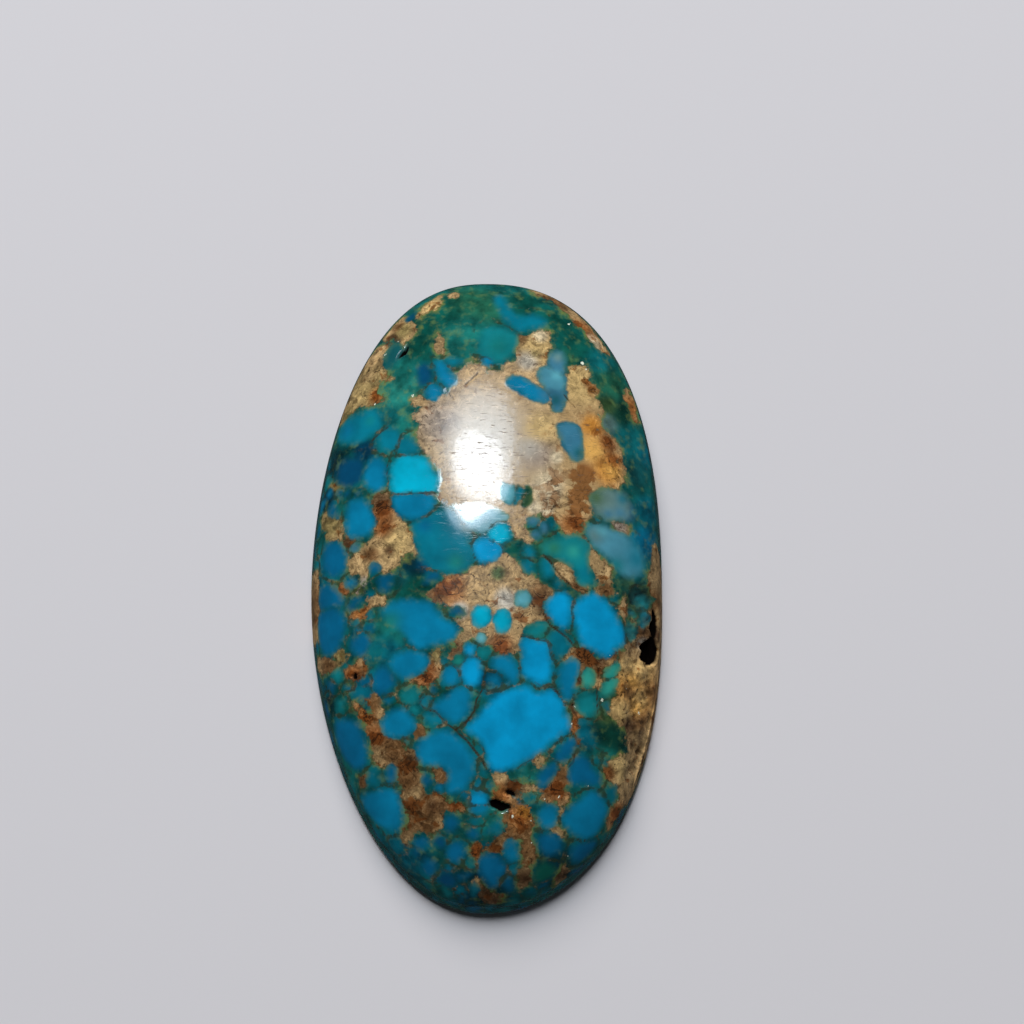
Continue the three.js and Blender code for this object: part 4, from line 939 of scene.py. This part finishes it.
# Material: polished turquoise in sandstone matrix. Hard blue nodules take a glassy polish, the matrix
# stays satin and grainy, the open shoulder is dull, and the lapped back is matt.
surface = bpy.data.materials.new("polished_turquoise_in_sandstone")
surface.use_nodes = True
tree = surface.node_tree
tree.nodes.clear()


def add(kind, inputs, **settings):
    """Adds a node, sets or links its inputs, and gives its first output or the one named."""
    output = settings.pop("output", 0)
    made = tree.nodes.new(kind)
    for name, value in settings.items():
        setattr(made, name, value)
    for socket, value in inputs.items():
        if isinstance(value, bpy.types.NodeSocket):
            tree.links.new(value, made.inputs[socket])
        else:
            made.inputs[socket].default_value = value
    return made.outputs[output] if made.outputs else None


def rgba(code):
    """An sRGB hex colour as linear values, opaque."""
    return (*paint(code), 1)


# A map range takes its value, from and to in sockets 0 to 4. A mix takes its share in 0, two numbers in 2 and
# 3, and two colours in 6 and 7.
NOISE, RANGE, MATH, MIX = "ShaderNodeTexNoise", "ShaderNodeMapRange", "ShaderNodeMath", "ShaderNodeMix"
VECTOR = "ShaderNodeVectorMath"
SMOOTH = {"interpolation_type": "SMOOTHSTEP"}
COLOUR = {"data_type": "RGBA", "output": 2}
NUMBER = {"data_type": "FLOAT"}
TIMES = {"operation": "MULTIPLY"}
PLUS = {"operation": "ADD"}
MINUS = {"operation": "SUBTRACT"}
SCALED = {"operation": "SCALE"}
TIMES_PLUS = {"operation": "MULTIPLY_ADD"}
LARGER = {"operation": "MAXIMUM"}
SIZE_ONLY = {"operation": "ABSOLUTE"}
TURQUOISE_IOR = 1.61
field = {name: add("ShaderNodeAttribute", {}, attribute_name=name, output="Fac") for name in measures}
for name in colours:
    field[name] = add("ShaderNodeAttribute", {}, attribute_name=name, output="Color")
object_place = add("ShaderNodeTexCoord", {}, output="Object")
place_mm = add(VECTOR, {0: object_place, 1: (1 / MM, 1 / MM, 1 / MM)}, **TIMES)

# Natural edges: noise of 0.5 mm wanders the drawn edge of a nodule, and a stronger one of 0.9 mm that of
# the matrix
edge_noise = add(NOISE, {"Vector": place_mm, "Scale": 1 / 0.5, "Detail": 3.0})
edge_shift = add(MATH, {0: edge_noise, 1: 0.4, 2: -0.2}, **TIMES_PLUS)
nodule_depth = add(MATH, {0: field["nodule"], 1: edge_shift}, **PLUS)
nodule_mask = add(RANGE, {0: nodule_depth, 1: -0.17, 2: 0.1}, **SMOOTH)
nodule_glow = add(RANGE, {0: nodule_depth, 1: -0.35, 2: 0.5}, **SMOOTH)
ragged = add(NOISE, {"Vector": place_mm, "Scale": 1 / 0.9, "Detail": 6.0, "Roughness": 0.66})
ragged_shift = add(MATH, {0: ragged, 1: 2.0, 2: -1.0}, **TIMES_PLUS)
patch_depth = add(MATH, {0: field["patch"], 1: ragged_shift}, **PLUS)
patch_mask = add(RANGE, {0: patch_depth, 1: -0.12, 2: 0.14}, **SMOOTH)

# Ground: teal and green chalk, mottled at 1.3 mm, with yellow-green wisps 0.7 mm apart
mottle = add(NOISE, {"Vector": place_mm, "Scale": 1 / 1.3, "Detail": 4.0, "Roughness": 0.55})
mottle_gain = add(RANGE, {0: mottle, 1: 0.3, 2: 0.7, 3: 0.25, 4: 0.98})
ground = add(VECTOR, {0: field["ground_colour"], 3: mottle_gain}, **SCALED)
wisp_noise = add(NOISE, {"Vector": place_mm, "Scale": 1 / 0.7, "Detail": 2.0})
wisps = add(RANGE, {0: wisp_noise, 1: 0.5, 2: 0.8, 4: 0.5}, **SMOOTH)
ground = add(MIX, {0: wisps, 6: ground, 7: rgba("#6E8A50")}, **COLOUR)

# A yellow-green stain, up to 0.5 mm wide, fringes the matrix in places
fringe = add(RANGE, {0: patch_depth, 1: -0.5, 2: 0.0, 4: 0.7}, **SMOOTH)
fringe_where = add(RANGE, {0: mottle, 1: 0.4, 2: 0.6}, **SMOOTH)
fringe = add(MATH, {0: fringe, 1: fringe_where}, **TIMES)
ground = add(MIX, {0: fringe, 6: ground, 7: rgba("#76803A")}, **COLOUR)

# Matrix: sandstone, cloudy at 0.7 mm. Its grains are too fine to show, so they are drawn as pale flecks and
# dark specks of 0.4 mm, with pale fibres 0.6 mm apart.
unpolished = add(RANGE, {0: field["polish"], 1: 0.2, 2: 0.7, 3: 1.0, 4: 0.15})
weather = {"Vector": place_mm, "Scale": 1 / 0.7, "Detail": 5.0, "Roughness": 0.6, "Distortion": 0.6}
weather = add(NOISE, weather)
weather_gain = add(RANGE, {0: weather, 1: 0.3, 2: 0.7, 3: 0.32, 4: 1.4})
weather_gain = add(MIX, {0: unpolished, 2: 1.0, 3: weather_gain}, **NUMBER)
matrix = add(VECTOR, {0: field["patch_colour"], 3: weather_gain}, **SCALED)
fleck = add(VECTOR, {0: field["patch_colour"], 3: 1.6}, **SCALED)
fleck = add(MIX, {0: 0.15, 6: fleck, 7: rgba("#E0CA9A")}, **COLOUR)
fibre_noise = add(NOISE, {"Vector": place_mm, "Scale": 1 / 0.6, "Detail": 2.0, "Distortion": 1.0})
fibre_gap = add(MATH, {0: fibre_noise, 1: 0.5}, **MINUS)
fibre_gap = add(MATH, {0: fibre_gap}, **SIZE_ONLY)
fibres = add(RANGE, {0: fibre_gap, 1: 0.035, 2: 0.005, 4: 0.55}, **SMOOTH)
fibre_where = add(RANGE, {0: weather, 1: 0.45, 2: 0.58}, **SMOOTH)
for factor in (fibre_where, unpolished):
    fibres = add(MATH, {0: fibres, 1: factor}, **TIMES)
matrix = add(MIX, {0: fibres, 6: matrix, 7: fleck}, **COLOUR)
grit = {"Vector": place_mm, "Scale": 1 / 0.4, "Detail": 3.0, "Roughness": 0.6, "Distortion": 0.9}
grit = add(NOISE, grit)
quartz = add(RANGE, {0: grit, 1: 0.58, 2: 0.72, 4: 0.55}, **SMOOTH)
matrix = add(MIX, {0: quartz, 6: matrix, 7: fleck}, **COLOUR)

# Rust stains the matrix in clouds of 1.0 mm, most where the iron was
rust_noise = {"Vector": place_mm, "Scale": 1 / 1.0, "Detail": 5.0, "Roughness": 0.6, "Distortion": 0.4}
rust_noise = add(NOISE, rust_noise)
rust_level = add(MATH, {0: field["rusty"], 1: 0.4, 2: rust_noise}, **TIMES_PLUS)
rust = add(RANGE, {0: rust_level, 1: 0.58, 2: 0.66, 4: 0.9}, **SMOOTH)
stain_where = add(RANGE, {0: field["rusty"], 1: 0.1, 2: 0.45}, **SMOOTH)
rust_where = add(MATH, {0: unpolished, 1: stain_where}, **LARGER)
rust = add(MATH, {0: rust, 1: rust_where}, **TIMES)
stained = add(VECTOR, {0: field["patch_colour"], 1: paint("#E1BC95")}, **TIMES)
rust_colour = add(MIX, {0: 0.4, 6: rgba("#74421E"), 7: stained}, **COLOUR)
rust_colour = add(VECTOR, {0: rust_colour, 3: weather_gain}, **SCALED)
matrix = add(MIX, {0: rust, 6: matrix, 7: rust_colour}, **COLOUR)

# Dark crevices 1.4 mm apart, deeper in the rust, with dark specks and dark borders up to 0.35 mm wide
crevice_noise = {"Vector": place_mm, "Scale": 1 / 1.4, "Detail": 4.0, "Roughness": 0.55, "Distortion": 0.8}
crevice_noise = add(NOISE, crevice_noise)
crevice_gap = add(MATH, {0: crevice_noise, 1: 0.5}, **MINUS)
crevice_gap = add(MATH, {0: crevice_gap}, **SIZE_ONLY)
crevices = add(RANGE, {0: crevice_gap, 1: 0.03, 2: 0.005}, **SMOOTH)
crevice_level = add(RANGE, {0: stain_where, 3: 0.42, 4: 0.95})
crevices = add(MATH, {0: crevices, 1: crevice_level}, **TIMES)
specks = add(RANGE, {0: grit, 1: 0.42, 2: 0.3, 4: 0.85}, **SMOOTH)
border = add(RANGE, {0: patch_depth, 1: 0.35, 2: 0.0, 4: 0.9}, **SMOOTH)
border_where = add(RANGE, {0: weather, 1: 0.42, 2: 0.58}, **SMOOTH)
border = add(MATH, {0: border, 1: border_where}, **TIMES)
dark = add(MATH, {0: crevices, 1: specks}, **LARGER)
dark = add(MATH, {0: dark, 1: border}, **LARGER)
dark = add(MATH, {0: dark, 1: unpolished}, **TIMES)
# Painted shade in the hollows of the open shoulder darkens the matrix too
dark = add(MATH, {0: dark, 1: field["crevice"]}, **LARGER)
matrix = add(MIX, {0: dark, 6: matrix, 7: rgba("#2E1B0E")}, **COLOUR)

# Scratches of the polish across the pale matrix, each 0.7 mm long and 0.07 mm wide
scratch_place = add(VECTOR, {0: place_mm, 1: (1 / 0.7, 1 / 0.07, 1)}, **TIMES)
scratch_noise = add(NOISE, {"Vector": scratch_place, "Scale": 1.0, "Detail": 2.0})
scratches = add(RANGE, {0: scratch_noise, 1: 0.62, 2: 0.68}, **SMOOTH)
scratches = add(MATH, {0: scratches, 1: field["polish"]}, **TIMES)
matrix = add(MIX, {0: scratches, 6: matrix, 7: rgba("#5A4634")}, **COLOUR)

# Nodules: clear blue, cloudy at 1.8 mm, fading through teal into the ground at their rims
cloud = add(NOISE, {"Vector": place_mm, "Scale": 1 / 1.8, "Detail": 3.0})
cloud_gain = add(RANGE, {0: cloud, 1: 0.3, 2: 0.7, 3: 0.78, 4: 1.15})
blue = add(VECTOR, {0: field["nodule_colour"], 3: cloud_gain}, **SCALED)
turquoise = add(MIX, {0: nodule_glow, 6: ground, 7: blue}, **COLOUR)

# Joints: a thin line of dark olive or of matrix runs midway between neighbouring nodules
joint_shift = add(MATH, {0: edge_noise, 1: 0.5, 2: -0.25}, **TIMES_PLUS)
joint_gap = add(MATH, {0: field["beside"], 1: joint_shift}, **PLUS)
joint_width = add(RANGE, {0: weather, 1: 0.42, 2: 0.7, 3: 0.16, 4: 0.6})
joint = add(MATH, {0: joint_width, 1: joint_gap}, **MINUS)
joint = add(RANGE, {0: joint, 1: -0.06, 2: 0.22, 4: 0.75}, **SMOOTH)
joint_near = add(RANGE, {0: field["nodule"], 1: -0.8, 2: -0.45}, **SMOOTH)
joint_where = add(RANGE, {0: mottle, 1: 0.38, 2: 0.52}, **SMOOTH)
for factor in (joint_near, joint_where, field["jointed"]):
    joint = add(MATH, {0: joint, 1: factor}, **TIMES)
joint_tone = add(RANGE, {0: ragged, 1: 0.48, 2: 0.66}, **SMOOTH)
joint_colour = add(MIX, {0: joint_tone, 6: rgba("#2A3522"), 7: matrix}, **COLOUR)
turquoise = add(MIX, {0: joint, 6: turquoise, 7: joint_colour}, **COLOUR)

# All together: matrix where no nodule covers it, then the seams, the quartz grains painted near white with
# their glints, and the painted shade of the pits, near black
matrix_mask = add(MATH, {0: 1.0, 1: nodule_mask}, **MINUS)
matrix_mask = add(MATH, {0: matrix_mask, 1: patch_mask}, **TIMES)
colour = add(MIX, {0: matrix_mask, 6: turquoise, 7: matrix}, **COLOUR)
seam_shift = add(MATH, {0: edge_noise, 1: 0.16, 2: -0.1}, **TIMES_PLUS)
seam_depth = add(MATH, {0: field["seam"], 1: seam_shift}, **PLUS)
seam_mask = add(RANGE, {0: seam_depth, 1: -0.07, 2: 0.05, 4: 0.9}, **SMOOTH)
colour = add(MIX, {0: seam_mask, 6: colour, 7: rgba("#35220F")}, **COLOUR)
# The quartz grains' near white is partly their own pale tone and partly a painted glint
grain_shift = add(MATH, {0: grit, 1: 0.3, 2: -0.2}, **TIMES_PLUS)
grain_depth = add(MATH, {0: field["grain"], 1: grain_shift}, **PLUS)
grain_glint = add(RANGE, {0: grain_depth, 1: -0.02, 2: 0.04}, **SMOOTH)
colour = add(MIX, {0: grain_glint, 6: colour, 7: rgba("#F2F4DC")}, **COLOUR)
# Painted shade: the deep middle of each pit is painted near black
pit_shift = add(MATH, {0: grit, 1: 0.5, 2: -0.25}, **TIMES_PLUS)
pit_depth = add(MATH, {0: field["pit"], 1: pit_shift}, **PLUS)
pit_shade_mask = add(RANGE, {0: pit_depth, 1: 0.15, 2: 0.55}, **SMOOTH)
colour = add(MIX, {0: pit_shade_mask, 6: colour, 7: rgba("#060302")}, **COLOUR)

# Gloss and fine relief: the turquoise is glassy, the matrix is satin with grit of 0.02 mm, and the scratches,
# the open shoulder, the pits and the lapped back are duller
GLASSY, DULL, SCRATCHED, LAPPED = 0.06, 0.8, 0.6, 0.5
GRIT_HEIGHT = 0.02 * MM
satin = add(RANGE, {0: field["polish"], 1: 0.2, 2: 0.6, 3: 0.3, 4: 0.13})
gloss = add(MIX, {0: matrix_mask, 2: GLASSY, 3: satin}, **NUMBER)
for where, roughness in ((scratches, SCRATCHED), (field["open"], DULL), (field["back"], LAPPED)):
    gloss = add(MIX, {0: where, 2: gloss, 3: roughness}, **NUMBER)
rough_part = add(MATH, {0: matrix_mask, 1: unpolished}, **TIMES)
grit_height = add(MATH, {0: grit, 1: 0.5}, **MINUS)
grit_height = add(MATH, {0: grit_height, 1: rough_part}, **TIMES)
relief = add("ShaderNodeBump", {"Height": grit_height, "Strength": 0.5, "Distance": GRIT_HEIGHT})
shine = add(RANGE, {0: rough_part, 3: 0.5, 4: 0.12})
shine = add(MIX, {0: pit_shade_mask, 2: shine, 3: 0.03}, **NUMBER)
finish = {"Base Color": colour, "Roughness": gloss, "Specular IOR Level": shine, "Normal": relief}
shader = add("ShaderNodeBsdfPrincipled", {**finish, "IOR": TURQUOISE_IOR})
add("ShaderNodeOutputMaterial", {"Surface": shader})
mesh.materials.append(surface)
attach(stone, "root")
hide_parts("turquoise")

# The floor: a plain pale sheet of matt paper that the stone lies on, as on a studio table.
# It only catches light and shadow: the polished rim doesn't mirror it. It lies a hair below the stone's back,
# so that the two faces don't coincide.
FLOOR_HALF = 1.5
FLOOR_HEIGHT = -0.02 * MM
PAPER_ROUGHNESS = 0.9
corners = [(x * FLOOR_HALF, y * FLOOR_HALF) for x, y in ((-1, -1), (1, -1), (1, 1), (-1, 1))]
floor_mesh = bpy.data.meshes.new("floor")
floor_mesh.from_pydata([(*corner, FLOOR_HEIGHT) for corner in corners], [], [(0, 1, 2, 3)])
floor = bpy.data.objects.new("floor", floor_mesh)
bpy.context.scene.collection.objects.link(floor)
paper = bpy.data.materials.new("matt_pale_paper")
paper.use_nodes = True
paper_shader = paper.node_tree.nodes["Principled BSDF"]
paper_shader.inputs["Base Color"].default_value = rgba("#DAD5D6")
paper_shader.inputs["Roughness"].default_value = PAPER_ROUGHNESS
floor_mesh.materials.append(paper)
floor.visible_glossy = False

# The light: a soft window beyond the top of the stone, which the dome mirrors as a pale patch, with its
# brightest pane inside it. A wide sky lights the whole stone but isn't mirrored, and the surround is faint.
SURROUND = 0.035
scene = bpy.context.scene
scene.view_settings.view_transform = "Standard"
world = bpy.data.worlds.new("dim_studio")
world.use_nodes = True
world.node_tree.nodes["Background"].inputs["Color"].default_value = rgba("#E8ECF2")
world.node_tree.nodes["Background"].inputs["Strength"].default_value = SURROUND
scene.world = world


def lamp(name, off_vertical, sideways, distance, wide, tall, power, tint):
    """An oval lamp aimed at the stone, so many degrees off vertical towards its top and so many sideways."""
    light = bpy.data.lights.new(name, "AREA")
    light.shape = "ELLIPSE"
    light.size = wide
    light.size_y = tall
    light.energy = power
    light.color = paint(tint)
    holder = bpy.data.objects.new(name, light)
    lean, side = math.radians(off_vertical), math.radians(sideways)
    away = Vector((math.sin(side), math.cos(side) * math.sin(lean), math.cos(side) * math.cos(lean)))
    holder.location = away * distance
    holder.rotation_mode = "QUATERNION"
    holder.rotation_quaternion = away.to_track_quat("Z", "Y")
    scene.collection.objects.link(holder)
    return holder


lamp("window", 26.0, -4.2, 0.6, 0.2, 0.25, 0.86, "#DCEEFF")
lamp("brightest_pane", 20.8, -3.2, 0.59, 0.115, 0.115, 0.62, "#F4FAFF")
sky = lamp("sky", 42, -8, 1.0, 0.8, 0.8, 8.2, "#FFFFFF")
sky.visible_glossy = False

# The camera: looks down on the stone from close by, leaning towards its lower end.
# It aims at a point just above the back, which lies at a given pixel of the 1024 pixel picture.
PICTURE = 1024
STONE_AT = (487.0, 588.2)
PIXELS_PER_MM = 13.53
AIM_HEIGHT = 1.2 * MM
CAMERA_DISTANCE = 170 * MM
CAMERA_LEAN = math.radians(10.5)
SENSOR = 36.0
aim = Vector((0, 0, AIM_HEIGHT))
focal_pixels = PIXELS_PER_MM * CAMERA_DISTANCE / MM
eye = aim + CAMERA_DISTANCE * Vector((0, -math.sin(CAMERA_LEAN), math.cos(CAMERA_LEAN)))
ahead = (aim - eye).normalized()
right = Vector((1, 0, 0))
rise = math.atan((STONE_AT[1] - PICTURE / 2) / focal_pixels)
swing = math.atan((PICTURE / 2 - STONE_AT[0]) / focal_pixels)
ahead = ahead * math.cos(rise) + right.cross(ahead) * math.sin(rise)
ahead = ahead * math.cos(swing) + right * math.sin(swing)
right = ahead.cross(Vector((0, 1, 0))).normalized()
camera_data = bpy.data.cameras.new("camera")
camera_data.sensor_width = SENSOR
camera_data.lens = SENSOR * focal_pixels / PICTURE
camera_data.clip_start = 10 * MM
camera = bpy.data.objects.new("camera", camera_data)
turn = Matrix((right, right.cross(ahead), -ahead)).transposed()
camera.matrix_world = Matrix.Translation(eye) @ turn.to_4x4()
scene.collection.objects.link(camera)
scene.camera = camera
